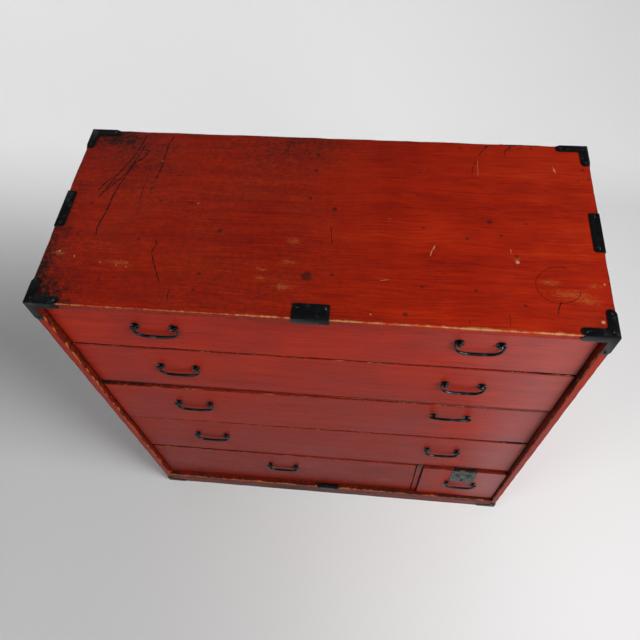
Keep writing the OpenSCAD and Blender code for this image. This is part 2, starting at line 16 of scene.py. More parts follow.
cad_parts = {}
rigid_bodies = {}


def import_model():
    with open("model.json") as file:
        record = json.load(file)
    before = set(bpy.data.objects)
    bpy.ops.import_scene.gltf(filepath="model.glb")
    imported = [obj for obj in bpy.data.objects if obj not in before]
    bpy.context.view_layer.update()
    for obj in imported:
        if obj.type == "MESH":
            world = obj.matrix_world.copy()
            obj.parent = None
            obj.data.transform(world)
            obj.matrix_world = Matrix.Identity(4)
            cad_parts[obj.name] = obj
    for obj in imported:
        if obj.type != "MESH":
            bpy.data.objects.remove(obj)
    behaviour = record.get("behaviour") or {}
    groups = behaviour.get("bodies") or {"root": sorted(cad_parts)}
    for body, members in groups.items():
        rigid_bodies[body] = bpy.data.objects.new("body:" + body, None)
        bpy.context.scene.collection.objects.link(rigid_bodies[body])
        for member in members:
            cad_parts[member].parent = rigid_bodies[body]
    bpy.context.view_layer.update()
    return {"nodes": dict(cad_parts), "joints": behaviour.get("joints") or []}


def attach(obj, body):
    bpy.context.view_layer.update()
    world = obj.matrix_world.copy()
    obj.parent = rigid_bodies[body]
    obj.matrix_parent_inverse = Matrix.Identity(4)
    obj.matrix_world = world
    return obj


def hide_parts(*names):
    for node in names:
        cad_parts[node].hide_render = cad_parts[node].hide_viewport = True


bl_info = {
    "name": "Red Lacquered Clothes Chest",
    "version": (1, 0, 0),
    "blender": (4, 5, 0),
    "location": "3D View > Sidebar > Chest",
    "description": "Dresses the chest's CAD model in worn lacquer, bare softwood and blackened iron",
    "category": "Object",
}

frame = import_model()
NODES = frame["nodes"]
JOINTS = {joint["child"]: joint for joint in frame["joints"]}

# A millimetre in metres.
MM = 0.001
DRAWERS = range(1, 7)
BAILS = [name for name in sorted(NODES) if name.startswith("bail_")]
# Distance between the two eyes of a handle, of its hinge from the drawer's face, and half an eye's room on
# the hinge.
PITCH = 64.0
EYE_OUT = 5.0
EYE_HALF = 3.0
# How far a bail that stands straight up is turned from hanging, in degrees.
BAIL_LIFT = 178.0
# The lock's middle, and the foot of the small drawer's front below it.
LOCK_MIDDLE, LOCK_FOOT = 335.6, 51.0


def linear(code, alpha=1.0):
    """An sRGB hex colour as linear values, with alpha."""
    parts = [int(code[i:i + 2], 16) / 255 for i in (1, 3, 5)]
    return (*[c / 12.92 if c <= 0.04045 else ((c + 0.055) / 1.055) ** 2.4 for c in parts], alpha)


# --- Sizes and colours ------------------------------------------------------

def colour(name, description, code):
    """A colour property, given as an sRGB hex colour."""
    return FloatVectorProperty(name=name, description=description, default=linear(code), size=4,
                               subtype="COLOR", min=0.0, max=1.0)


def length(name, description, value, low, high):
    """A length property, given in millimetres and held in metres."""
    return FloatProperty(name=name, description=description, default=value * MM, min=low * MM,
                         max=high * MM, subtype="DISTANCE", unit="LENGTH", precision=4)


class ChestFinish(bpy.types.PropertyGroup):
    """Colours of the lacquer, the wood and the iron."""
    lacquer: colour("Lacquer", "Vermilion lacquer where it is thick", "#9A1E05")
    lacquer_thin: colour("Thin lacquer", "Lacquer over dark, dense grain", "#761207")
    # It also serves as painted shade: the recessed rails are darkened with it throughout.
    lacquer_dark: colour("Old lacquer", "Lacquer darkened in the recesses and by handling", "#430E07")
    lacquer_bright: colour("Bright lacquer", "Lacquer over pale, open grain", "#A82A09")
    # The painted sheen is a pale painted reflection of the bright floor, laid at the fronts' right ends.
    worn: colour("Worn lacquer", "Thin ochre film where the lacquer is rubbed through", "#9C5024")
    painted_sheen: colour("Bloom", "Lacquer dulled by daylight and dust", "#C3AEB0")
    bare: colour("Bare wood", "Wood laid open at the edges", "#BC8660")
    # Grime is also the colour of the painted shade that the boards' film lays in recesses and gaps.
    grime: colour("Grime", "Soot and wax in scratches and along the edges", "#1E120E")
    wood: colour("Softwood", "Planed softwood inside the chest", "#B98F5E")
    wood_dark: colour("Softwood grain", "Late wood of the softwood", "#8C6238")
    iron: colour("Blackened iron", "Iron blackened over the forge", "#2A2B2D")
    iron_rubbed: colour("Rubbed iron", "Iron where hands and cloths polish it", "#6B6F72")
    lock_iron: colour("Lock iron", "Sheet iron of the lock, rubbed grey", "#535C5A")


class ChestSizes(bpy.types.PropertyGroup):
    """Sizes of the wear and the forged parts."""
    arris: length("Arris", "Radius of a board's worn edges", 1.2, 0.4, 2.5)
    iron_edge: length("Iron edge", "Radius along the edges of the sheet iron", 0.35, 0.1, 0.6)
    grain: length("Grain", "Distance from one grain line to the next", 3.2, 1.0, 8.0)
    bail_middle: length("Bail", "Thickness of a bail in its middle", 5.4, 4.4, 5.6)
    bail_end: length("Bail end", "Thickness of a bail at its knuckles", 4.0, 3.4, 5.0)
    bail_drop: length("Bail drop", "Height of a hanging bail", 28.0, 24.0, 40.0)


class ChestStage(bpy.types.PropertyGroup):
    """Light and surroundings."""
    # Paper is painted shade at the left and front, pale paper painted daylight at the right and far off.
    paper: colour("Paper", "Pale paper of the floor and backdrop", "#A8A8A8")
    paper_painted_light: colour("Pale paper", "The paper towards the daylight and far off", "#F8F8F8")
    window: FloatProperty(name="Window light", description="Strength of the broad daylight from the right",
                          default=2.28, min=0.0, max=6.0)
    right: FloatProperty(name="Right light", description="Power of the soft box at the right", default=11.5,
                         min=0.0, max=100.0, subtype="POWER", unit="POWER")
    left: FloatProperty(name="Left light", description="Power of the soft box at the left", default=9.5,
                        min=0.0, max=100.0, subtype="POWER", unit="POWER")
    paper_lift: FloatProperty(name="Paper lift", description="How much paler the paper looks than it is lit",
                              default=0.08, min=0.0, max=0.8)
    sky: FloatProperty(name="Room light", description="Strength of the dim room all round", default=0.13,
                       min=0.0, max=1.0)


# --- Nodes ------------------------------------------------------------------

# A Map Range node's setting for a soft step from one end to the other.
SMOOTH = {"interpolation_type": "SMOOTHSTEP"}


def add(tree, kind, inputs=None, **settings):
    """Adds a shader node with its settings. An input is a value, or a node or socket to link from."""
    node = tree.nodes.new("ShaderNode" + kind)
    for key, value in settings.items():
        setattr(node, key, value)
    for key, value in (inputs or {}).items():
        if isinstance(value, bpy.types.Node):
            value = next(socket for socket in value.outputs if socket.enabled)
        if isinstance(value, bpy.types.NodeSocket):
            tree.links.new(value, node.inputs[key])
        else:
            node.inputs[key].default_value = value
    return node


# --- Lacquered wood ---------------------------------------------------------

def grain_figure(tree, place, spacing):
    """Sawn figure in a board whose grain runs along X: fine lines, broad bands and pores, in mm."""
    sway = add(tree, "TexNoise", {"Vector": place, "Scale": 1 / 170, "Detail": 1.0})
    bent = add(tree, "VectorMath", {0: sway.outputs["Color"], 1: (0.5, 0.5, 0.5)}, operation="SUBTRACT")
    bent = add(tree, "VectorMath", {0: bent, 1: (0.0, 26.0, 26.0)}, operation="MULTIPLY")
    bent = add(tree, "VectorMath", {0: place, 1: bent}, operation="ADD")
    # Length along the grain and width across it in mm, then the noise's detail and roughness.
    figure = []
    for along, across, detail, rough in ((95, spacing, 3.0, 0.65), (420, 24, 2.0, 0.5), (9, 1.3, 1.0, 0.5)):
        at = add(tree, "VectorMath", {0: bent, 1: (1 / along, 1 / across, 1 / across)}, operation="MULTIPLY")
        figure.append(add(tree, "TexNoise", {"Vector": at, "Scale": 1.0, "Detail": detail,
                                             "Roughness": rough}))
    fine, band, pore = figure
    pore = add(tree, "MapRange", {"Value": pore, "From Min": 0.62, "From Max": 0.74}, **SMOOTH)
    return fine, band, pore


def spot_field(tree, place, spots, wobble):
    """Distance in mm from the nearest of the spots (x, y, radius), below 0 inside one."""
    near = None
    for x, y, radius in spots:
        away = add(tree, "VectorMath", {0: place, 1: (x, y, 0.0)}, operation="DISTANCE")
        away = add(tree, "Math", {0: away, 1: radius}, operation="SUBTRACT")
        near = away if near is None else add(tree, "Math", {0: near, 1: away}, operation="MINIMUM")
    return add(tree, "Math", {0: near, 1: wobble}, operation="ADD")


def patch_field(tree, place, patches):
    """1 in the middle of the nearest oval patch (x, y, half length, half width), 0 outside all."""
    near = None
    for x, y, half_x, half_y in patches:
        away = add(tree, "VectorMath", {0: place, 1: (x, y, 0.0)}, operation="SUBTRACT")
        away = add(tree, "VectorMath", {0: away, 1: (1 / half_x, 1 / half_y, 0.0)}, operation="MULTIPLY")
        away = add(tree, "VectorMath", {0: away}, operation="LENGTH")
        near = away if near is None else add(tree, "Math", {0: near, 1: away}, operation="MINIMUM")
    return add(tree, "MapRange", {"Value": near, "From Min": 1.0, "From Max": 0.0}, **SMOOTH)


def lacquered_wood(tree, scene, marks=None, dark=0.0):
    """Vermilion lacquer, brushed thin over open-grained softwood and rubbed by long use.

    To the eye: a warm red that lets the grain's fine lines through, a soft gloss with a hazy wax film,
    black soot in the scratches and along the edges, and tan wood where an edge is rubbed through.
    """
    finish = scene.chest_finish
    place, board_dirt_shade_sheen, edge, wear = (
        add(tree, "Attribute", attribute_name=name).outputs[output]
        for name, output in (("grain", "Vector"), ("film", "Fac"), ("edge", "Fac"), ("wear", "Fac")))
    fine, band, pore = grain_figure(tree, place, scene.chest_sizes.grain / MM)
    # Unevenness over 130 mm, over 7 mm and, for the broken edges, over 14 mm.
    cloud, speck, chip = (
        add(tree, "TexNoise", {"Vector": place, "Scale": 1 / size, "Detail": detail, "Roughness": rough})
        for size, detail, rough in ((130, 3.0, 0.6), (7, 3.0, 0.7), (14, 5.0, 0.75)))

    # Thickness of the lacquer over the grain: fine lines on broad bands and clouds.
    thick = add(tree, "Math", {0: fine, 1: 0.75}, operation="MULTIPLY")
    for part, weight in ((band, 0.34), (cloud, 0.5)):
        thick = add(tree, "Math", {0: part, 1: weight, 2: thick}, operation="MULTIPLY_ADD")
    thick = add(tree, "MapRange", {"Value": thick, "From Min": 0.56, "From Max": 0.99})
    base = add(tree, "ValToRGB", {"Fac": thick})
    stops = base.color_ramp.elements
    stops[0].color, stops[1].color = finish.lacquer_thin, finish.lacquer_bright
    stops.new(0.62).color = finish.lacquer
    open_pore = add(tree, "Math", {0: pore, 1: 0.35}, operation="MULTIPLY")

    # Small knocks that have filled with soot: one in each cell of 24 mm, few of them deep.
    cell = add(tree, "TexVoronoi", {"Vector": place, "Scale": 1 / 24})
    size = add(tree, "SeparateColor", {0: cell.outputs["Color"]})
    size = add(tree, "MapRange", {"Value": size, "From Min": 0.6, "To Max": 0.07})
    ragged = add(tree, "Math", {0: speck, 1: 0.05, 2: cell}, operation="MULTIPLY_ADD")
    knock = add(tree, "Math", {0: ragged, 1: size}, operation="SUBTRACT")
    knock = add(tree, "MapRange", {"Value": knock, "From Min": 0.035, "From Max": 0.012, "To Max": 0.75},
                **SMOOTH)

    # Soot and handling, as a film that the board says for each point, uneven every few centimetres.
    # The same film lays painted shade in recesses and gaps.
    streak = add(tree, "Math", {0: cloud, 1: 0.6, 2: speck}, operation="MULTIPLY_ADD")
    streak = add(tree, "MapRange", {"Value": streak, "From Min": 0.55, "From Max": 1.05, "To Min": 0.15,
                                    "To Max": 1.85})
    film = add(tree, "Math", {0: board_dirt_shade_sheen, 1: streak}, operation="MULTIPLY", use_clamp=True)
    # Below 0 the film is a painted sheen: a pale painted reflection of the bright floor.
    painted_sheen = add(tree, "MapRange", {"Value": board_dirt_shade_sheen, "From Min": 0.0, "From Max": -1.0})
    # A darkened board's darkening is painted shade where it lies recessed, and old lacquer.
    layers = [(dark, finish.lacquer_dark), (open_pore, finish.lacquer_dark), (knock, finish.grime),
              (film, finish.grime), (painted_sheen, finish.painted_sheen)]
    sunk = knock
    if marks:
        over, sunk = mark_layers(tree, marks, finish, knock, speck)
        layers += over

    # Edges: soot first, then ochre and bare wood as far in as the arris is rubbed through. The board
    # carries how far each point lies from its arris, and how wide the worn strip is there, in mm.
    inward = add(tree, "Math", {0: chip, 1: -9.0, 2: 4.5}, operation="MULTIPLY_ADD")
    inward = add(tree, "Math", {0: speck, 1: -3.2, 2: inward}, operation="MULTIPLY_ADD")
    for more in (1.6, edge):
        inward = add(tree, "Math", {0: inward, 1: more}, operation="ADD")
    soot = add(tree, "MapRange", {"Value": inward, "From Min": 2.8, "From Max": 0.2, "To Max": 0.85},
               **SMOOTH)
    inward = add(tree, "Math", {0: inward, 1: wear}, operation="SUBTRACT")
    halo = add(tree, "MapRange", {"Value": inward, "From Min": 1.3, "From Max": 0.1}, **SMOOTH)
    bare = add(tree, "MapRange", {"Value": inward, "From Min": -0.4, "From Max": -1.6, "To Max": 0.8},
               **SMOOTH)
    arris = add(tree, "MapRange", {"Value": edge, "From Min": 3.0, "From Max": 1.0})
    clean = add(tree, "MapRange", {"Value": board_dirt_shade_sheen, "From Min": 0.6, "From Max": 0.2, "To Min": 0.08})
    for limit in (arris, clean):
        bare = add(tree, "Math", {0: bare, 1: limit}, operation="MULTIPLY")
    layers += [(soot, finish.lacquer_dark), (halo, finish.worn), (bare, finish.bare)]
    for amount, tint in layers:
        base = add(tree, "Mix", {0: amount, 6: base, 7: tint}, data_type="RGBA")

    # The wax film makes the gloss uneven; bare wood and soot are dull.
    rough = add(tree, "MapRange", {"Value": cloud, "From Min": 0.3, "From Max": 0.7, "To Min": 0.38,
                                   "To Max": 0.5})
    dull = add(tree, "Math", {0: halo, 1: sunk}, operation="MAXIMUM")
    rough = add(tree, "Math", {0: dull, 1: 0.25, 2: rough}, operation="MULTIPLY_ADD")
    relief = add(tree, "Math", {0: fine, 1: 0.5, 2: pore}, operation="MULTIPLY_ADD")
    relief = add(tree, "Math", {0: sunk, 1: -1.6, 2: relief}, operation="MULTIPLY_ADD")
    bump = add(tree, "Bump", {"Height": relief, "Strength": 0.35, "Distance": 0.12 * MM})
    # Old lacquer is finely crazed, so it mirrors less than a fresh film of index 1.5.
    return add(tree, "BsdfPrincipled", {"Base Color": base, "Roughness": rough, "IOR": 1.22, "Normal": bump})


def mark_layers(tree, marks, finish, knock, speck):
    """A board's own rubbed patches, knots and chips, as amounts and colours, and what of them is sunk."""
    flat = add(tree, "TexCoord").outputs["Object"]
    flat = add(tree, "VectorMath", {0: flat, "Scale": 1 / MM}, operation="SCALE")
    flat = add(tree, "VectorMath", {0: flat, 1: (1.0, 1.0, 0.0)}, operation="MULTIPLY")
    tremble = add(tree, "TexNoise", {"Vector": flat, "Scale": 1 / 14, "Detail": 2.0})
    tremble = add(tree, "VectorMath", {0: tremble.outputs["Color"], 1: (0.5, 0.5, 0.5)}, operation="SUBTRACT")
    tremble = add(tree, "VectorMath", {0: tremble, 1: (5.0, 5.0, 0.0)}, operation="MULTIPLY")
    flat = add(tree, "VectorMath", {0: flat, 1: tremble}, operation="ADD")
    wobble = add(tree, "MapRange", {"Value": speck, "To Min": 2.5, "To Max": -2.5})

    # Lacquer rubbed through to ochre, in dabs of 8 by 1.7 mm along the grain.
    dabs = add(tree, "VectorMath", {0: flat, 1: (1 / 8, 1 / 1.7, 0.0)}, operation="MULTIPLY")
    dabs = add(tree, "TexNoise", {"Vector": dabs, "Scale": 1.0, "Detail": 3.0, "Roughness": 0.7})
    worn = patch_field(tree, flat, marks["worn"])
    worn = add(tree, "Math", {0: worn, 1: 0.32, 2: dabs}, operation="MULTIPLY_ADD")
    knots = spot_field(tree, flat, marks["knots"], wobble)
    chips = spot_field(tree, flat, marks["chips"], wobble)
    worn, knots, chips = (
        add(tree, "MapRange", {"Value": field, "From Min": low, "From Max": high, "To Max": most}, **SMOOTH)
        for field, low, high, most in ((worn, 0.7, 0.84, 0.65), (knots, 3.0, -1.5, 0.7),
                                       (chips, 1.0, -0.2, 0.8)))
    sunk = add(tree, "Math", {0: knots, 1: knock}, operation="MAXIMUM")
    return [(worn, finish.worn), (knots, finish.grime), (chips, finish.bare)], sunk


# Marks on the top board, in mm from the middle of the chest: X to the right, Y to the back. A scratch or
# line has what is added to its half width and then its places, a knot or chip its place and radius, and a
# worn patch its place, half length and half width.
TOP_MARKS = {
    "scratches": [
        [0.7, (-345.5, 185), (-349.3, 150.6), (-362.9, 108.7), (-374.7, 78.5), (-393.6, 26)],
        [0.6, (-341.3, 159.6), (-349.6, 120.2), (-360.6, 84.6), (-377, 57.7), (-384.4, 41.7)],
        [0.6, (-375.5, 81.1), (-388.9, 64.7), (-398.7, 43.5)],
        [0.8, (-330.3, 148.7), (-336.1, 126.4), (-348.2, 114.7), (-356.6, 84.9), (-363.4, 58.5),
         (-367.5, 37.7), (-370.6, 0.2), (-375.6, -36), (-372.6, -55.6)],
        [0.7, (-291.5, 184.7), (-297.2, 164.4), (-297.6, 131), (-299.2, 120.1), (-298.2, 98.5),
         (-302.5, 74.8)],
        [-0.1, (-318, 105.6), (-318.8, 45.4), (-315.3, -6.2)],
        [0.0, (-288.9, 109.9), (-275.6, 94.6), (-255.6, 85)],
        [0.2, (-241.6, 28.5), (-219.6, 23.7)],
        [0.1, (-429.6, -51.9), (-424.8, -37.2)],
        [0.1, (-425.5, -64.4), (-419.1, -36.9)],
        [0.3, (-271.3, -56.4), (-266.5, -67.4), (-270.2, -80), (-269.4, -88.2), (-256.4, -118.4),
         (-244.6, -141)],
        [0.1, (-226.1, -155), (-224.4, -177.5)],
        [0.1, (-435, 61.7), (-433.6, 45)],
        [0.0, (154.8, 124.9), (162.2, 116.9), (174.3, 117.5), (175.4, 129.4)],
        [0.5, (281.7, 192), (270.1, 177.3), (262.2, 163)],
        [0.0, (258.8, 150.8), (251.5, 133.4), (249.2, 113.3)],
        [0.3, (297.8, 193.5), (319.7, 191.5), (339.3, 193), (356.3, 192.2)],
        [0.4, (319.7, 192.2), (316.8, 185), (307.7, 174), (309.3, 160.3)],
        [0.2, (339.1, 189.6), (329.8, 178.6)],
        [0.3, (354, 193.9), (354.1, 179.9)],
        [0.1, (15.7, -9.9), (21.2, -49.6)],
        [0.4, (373.6, -135), (368.9, -148.6), (365.9, -160.8)],
        [-0.1, (295.6, -162.5), (295.9, -186.1)],
        [-0.1, (338.8, -98.7), (349.4, -83.9), (361.5, -74.8), (380.5, -71.9), (389.5, -75.3)],
        [-0.1, (338.8, -98.7), (338.6, -112.5), (342.2, -123.7), (350.5, -133.3), (360.9, -138.6),
         (373.4, -139.9), (386.5, -136.4), (398.2, -128.9), (405.4, -117.2)],
    ],
    "pale_lines": [
        [0.2, (187, -40.6), (182.1, -50.9), (178.2, -64.8)],
        [-0.3, (260, 150.8), (259.4, 113.9)],
        [0.0, (386.8, 144), (389.4, 134.2), (390.9, 126)],
        [-0.2, (100.4, -116.2), (116, -113.4)],
        [-0.2, (304.2, -39.5), (305.3, -53)],
        [-0.3, (107.8, 9.9), (118, 9)],
    ],
    "knots": [
        (-400.8, 14.3, 1.5), (-305.1, 52.7, 1.5), (-281.6, 27.6, 2), (-404.5, -53.3, 1.2),
        (-166.2, -32.9, 3), (-183.6, -121.5, 1.5), (-188.1, -152.5, 1.5), (-344.1, -143.7, 1.2),
        (-371.5, -120.6, 1.2), (-319.8, -138.3, 1), (-376.8, -157.5, 1.2), (-299.5, -58.1, 1),
        (-439.1, -114.1, 1.5), (-20.5, 151.5, 2.5), (-19.6, 112.3, 2.5), (19.2, 25.5, 3.5),
        (-23.3, 46.1, 2), (-13.3, -115.2, 8), (25.4, -110.2, 2.5), (167.1, -7.5, 1.5),
        (166.2, -123.7, 2), (142.1, -175.1, 2.5), (-27.9, -162.8, 1.5), (273.6, 12.8, 3),
        (332.9, 11.4, 1.2), (237.5, -24.7, 1.8), (291.9, -16.2, 2), (313, -56, 2), (247.8, -125.5, 1.5),
        (320.2, -147.6, 1.2), (441.7, -74.3, 1), (437.7, 136.8, 1), (444.6, 117.5, 1.2),
        (426.4, 110, 1), (230.9, 180.6, 2),
    ],
    "chips": [
        (-424, -91.6, 1), (-397.4, -100.2, 1), (-350.7, -109.4, 0.8), (-323.1, -113.4, 0.8),
        (-305.3, -116.4, 0.8), (-299.2, 120.1, 1.2), (-215, 23.9, 1), (314.4, -66.5, 2.6),
        (389.4, 134.2, 1.6), (429.6, -169, 2.2), (440.9, -100.6, 1.2), (90.8, -178.7, 1),
    ],
    "worn": [
        (-40.5, -47.5, 26, 14), (-44.7, -89.8, 34, 9), (-88, -106.5, 22, 9), (-85, -124, 24, 9),
        (-50.8, -138, 34, 14), (360, -102.4, 34, 14), (391, -123, 76, 17), (412, -134, 44, 14),
        (425, -105, 20, 10), (-424, -95, 26, 12), (-318, -108, 46, 12), (314, -62, 10, 14),
    ],
}


# --- Bare wood and iron -----------------------------------------------------

def bare_softwood(tree, scene, turn=None):
    """Planed softwood without a finish, browned by age: matt, with fine straight late-wood lines.

    The grain follows the board's own attribute, or a turn about Z for a CAD board that has none.
    """
    finish = scene.chest_finish
    if turn is None:
        place = add(tree, "Attribute", attribute_name="grain").outputs["Vector"]
    else:
        place = add(tree, "TexCoord").outputs["Object"]
        place = add(tree, "Mapping", {"Vector": place, "Rotation": (0.0, 0.0, turn),
                                      "Scale": (1 / MM, 1 / MM, 1 / MM)})
    fine, band, pore = grain_figure(tree, place, 4.5)
    tone = add(tree, "Math", {0: band, 1: 0.6, 2: fine}, operation="MULTIPLY_ADD")
    tone = add(tree, "MapRange", {"Value": tone, "From Min": 0.6, "From Max": 1.05})
    base = add(tree, "Mix", {0: tone, 6: finish.wood_dark, 7: finish.wood}, data_type="RGBA")
    pore = add(tree, "Math", {0: pore, 1: 0.5}, operation="MULTIPLY")
    dust = add(tree, "TexNoise", {"Vector": place, "Scale": 1 / 90, "Detail": 4.0})
    dust = add(tree, "MapRange", {"Value": dust, "From Min": 0.45, "From Max": 0.75, "To Max": 0.4})
    for amount, tint in ((pore, finish.wood_dark), (dust, finish.lacquer_dark)):
        base = add(tree, "Mix", {0: amount, 6: base, 7: tint}, data_type="RGBA")
    bump = add(tree, "Bump", {"Height": fine, "Strength": 0.4, "Distance": 0.2 * MM})
    rough = add(tree, "MapRange", {"Value": fine, "To Min": 0.6, "To Max": 0.78})
    return add(tree, "BsdfPrincipled", {"Base Color": base, "Roughness": rough, "IOR": 1.5, "Normal": bump})


def scratch_filling(tree, scene, most, least):
    """What lies open in a scratch, soot and wax or torn wood: matt, and uneven every few millimetres."""
    place = add(tree, "TexCoord").outputs["Object"]
    patchy = add(tree, "TexNoise", {"Vector": place, "Scale": 1 / (4 * MM), "Detail": 3.0})
    patchy = add(tree, "MapRange", {"Value": patchy, "From Min": 0.5, "From Max": 0.8})
    tints = [getattr(scene.chest_finish, tint) for tint in (most, least)]
    base = add(tree, "Mix", {0: patchy, 6: tints[0], 7: tints[1]}, data_type="RGBA")
    rough = add(tree, "MapRange", {"Value": patchy, "To Min": 0.55, "To Max": 0.8})
    return add(tree, "BsdfPrincipled", {"Base Color": base, "Roughness": rough, "IOR": 1.2})


def forged_iron(tree, scene, most, least, least_from, smooth_rough, scaly_rough):
    """Iron worked hot and blackened with oil and soot: near black, with a dull sheen.

    To the eye: soft hammer facets about 6 mm wide, a fine scaly grain, and a second tone in patches, grey
    where the black is rubbed off or black where the grey is sooty.
    """
    place = add(tree, "TexCoord").outputs["Object"]
    place = add(tree, "VectorMath", {0: place, "Scale": 1 / MM}, operation="SCALE")
    facet, scale, patch = (
        add(tree, "TexNoise", {"Vector": place, "Scale": 1 / size, "Detail": detail, "Roughness": rough})
        for size, detail, rough in ((6, 1.0, 0.5), (1.4, 3.0, 0.65), (14, 1.5, 0.5)))
    patch = add(tree, "Math", {0: scale, 1: 0.12, 2: patch}, operation="MULTIPLY_ADD")
    patch = add(tree, "MapRange", {"Value": patch, "From Min": least_from, "From Max": least_from + 0.36,
                                   "To Max": 0.75}, **SMOOTH)
    tints = [getattr(scene.chest_finish, tint) for tint in (most, least)]
    base = add(tree, "Mix", {0: patch, 6: tints[0], 7: tints[1]}, data_type="RGBA")
    rough = add(tree, "MapRange", {"Value": scale, "From Min": 0.3, "From Max": 0.7,
                                   "To Min": smooth_rough, "To Max": scaly_rough})
    relief = add(tree, "Math", {0: facet, 1: 3.0, 2: scale}, operation="MULTIPLY_ADD")
    bump = add(tree, "Bump", {"Height": relief, "Strength": 0.5, "Distance": 0.12 * MM})
    return add(tree, "BsdfPrincipled", {"Base Color": base, "Metallic": 1.0, "Roughness": rough,
                                        "Normal": bump})


def pale_paper(tree, scene):
    """Matt pale paper, painted lighter right and far behind, and a little paler to the eye than it is lit."""
    stage = scene.chest_stage
    place = add(tree, "TexCoord").outputs["Object"]
    across = add(tree, "SeparateXYZ", {0: place})
    # Painted light and shade: paler towards the right and far behind, darker at the left and in front.
    right = add(tree, "MapRange", {"Value": across.outputs["X"], "From Min": -0.55, "From Max": 0.85,
                                   "To Max": 0.66}, **SMOOTH)
    behind = add(tree, "MapRange", {"Value": across.outputs["Y"], "From Min": 0.3, "From Max": 1.3}, **SMOOTH)
    pale = add(tree, "Math", {0: right, 1: behind}, operation="MAXIMUM")
    fibre = add(tree, "TexNoise", {"Vector": place, "Scale": 1.3, "Detail": 2.0})
    pale = add(tree, "Math", {0: fibre, 1: 0.12, 2: pale}, operation="MULTIPLY_ADD", use_clamp=True)
    tone = add(tree, "Mix", {0: pale, 6: stage.paper, 7: stage.paper_painted_light}, data_type="RGBA")
    lit = add(tree, "BsdfPrincipled", {"Base Color": tone, "Roughness": 0.9, "Specular IOR Level": 0.2})
    # Only seen directly or mirrored does it glow, so the glow lights nothing.
    ray = add(tree, "LightPath")
    seen = add(tree, "Math", {0: ray.outputs["Is Camera Ray"], 1: ray.outputs["Is Glossy Ray"]},
               operation="ADD")
    seen = add(tree, "Math", {0: seen, 1: ray.outputs["Is Transmission Ray"]}, operation="ADD",
               use_clamp=True)
    seen = add(tree, "Math", {0: seen, 1: stage.paper_lift}, operation="MULTIPLY")
    return add(tree, "AddShader", {0: lit, 1: add(tree, "Emission", {"Strength": seen})})


# Each material's function with its settings.
RECIPES = {
    "red lacquer": (lacquered_wood,),
    "red lacquer top": (lacquered_wood, TOP_MARKS),
    # Rails, bottom board and plinth: darkened throughout, painted shade where the rails lie recessed.
    "darkened and shaded lacquer": (lacquered_wood, None, 0.55),
    "bare softwood boards": (bare_softwood,),
    "bare softwood": (bare_softwood, 0.0),
    "bare softwood sides": (bare_softwood, math.pi / 2),
    "soot in scratches": (scratch_filling, "grime", "lacquer_dark"),
    "bare wood in scratches": (scratch_filling, "bare", "worn"),
    "blackened iron": (forged_iron, "iron", "iron_rubbed", 0.62, 0.34, 0.5),
    "handle iron": (forged_iron, "iron", "iron_rubbed", 0.58, 0.28, 0.42),
    "lock iron": (forged_iron, "lock_iron", "iron", 0.42, 0.4, 0.55),
    "pale paper": (pale_paper,),
}


def coat(mesh, name):
    """Gives a mesh the material of that name alone, which is made when it is first asked for."""
    if name not in bpy.data.materials:
        make, *settings = RECIPES[name]
        made = bpy.data.materials.new(name)
        made.use_nodes = True
        made.node_tree.nodes.clear()
        shader = make(made.node_tree, bpy.context.scene, *settings)
        add(made.node_tree, "OutputMaterial", {"Surface": shader})
    mesh.materials.clear()
    mesh.materials.append(bpy.data.materials[name])


# --- Pieces -----------------------------------------------------------------

def piece(name, mesh, finish_name, body, nodes=()):
    """Makes the piece from a mesh in metres, attaches it to what it rides on, and hides the nodes it
    replaces.
    """
    obj = bpy.data.objects.new(name, mesh)
    bpy.context.scene.collection.objects.link(obj)
    coat(mesh, finish_name)
    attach(obj, body)
    if nodes:
        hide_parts(*nodes)
    return obj


def smooth(mesh):
    """Shades every face smooth."""
    mesh.polygons.foreach_set("use_smooth", [True] * len(mesh.polygons))


def even_shading(obj):
    """Keeps the flat faces flat between the rounded edges."""
    shade = obj.modifiers.new("even shading", "WEIGHTED_NORMAL")
    shade.weight = 80
    shade.keep_sharp = True


def hinges_of(drawer):
    """The joints of a drawer's handles."""
    return [JOINTS[bail] for bail in BAILS if JOINTS[bail]["parent"] == f"drawer_{drawer}"]


def skew_of(drawer):
    """How far a drawer stands askew, from the direction of its handle's hinge."""
    axis = hinges_of(drawer)[0]["axis"]
    return math.atan2(-axis[1], -axis[0])


def box_of(points):
    """The lowest and the highest corner of the box round some points."""
    return [Vector([pick(p[i] for p in points) for i in range(3)]) for pick in (min, max)]


def node_box(node, angle=0.0):
    """A node's box in mm, as seen after turning it back by an angle about Z."""
    turn = Matrix.Rotation(-angle, 3, "Z")
    return box_of([turn @ v.co / MM for v in NODES[node].data.vertices])


def islands(node):
    """The separate solids of a node, as lists of points in mm."""
    bm = bmesh.new()
    bm.from_mesh(NODES[node].data)
    bmesh.ops.remove_doubles(bm, verts=bm.verts, dist=1e-6)
    seen, found = set(), []
    for start in bm.verts:
        if start in seen:
            continue
        seen.add(start)
        group, ahead = [], [start]
        while ahead:
            vert = ahead.pop()
            group.append(vert.co / MM)
            for edge in vert.link_edges:
                other = edge.other_vert(vert)
                if other not in seen:
                    seen.add(other)
                    ahead.append(other)
        found.append(group)
    bm.free()
    return found


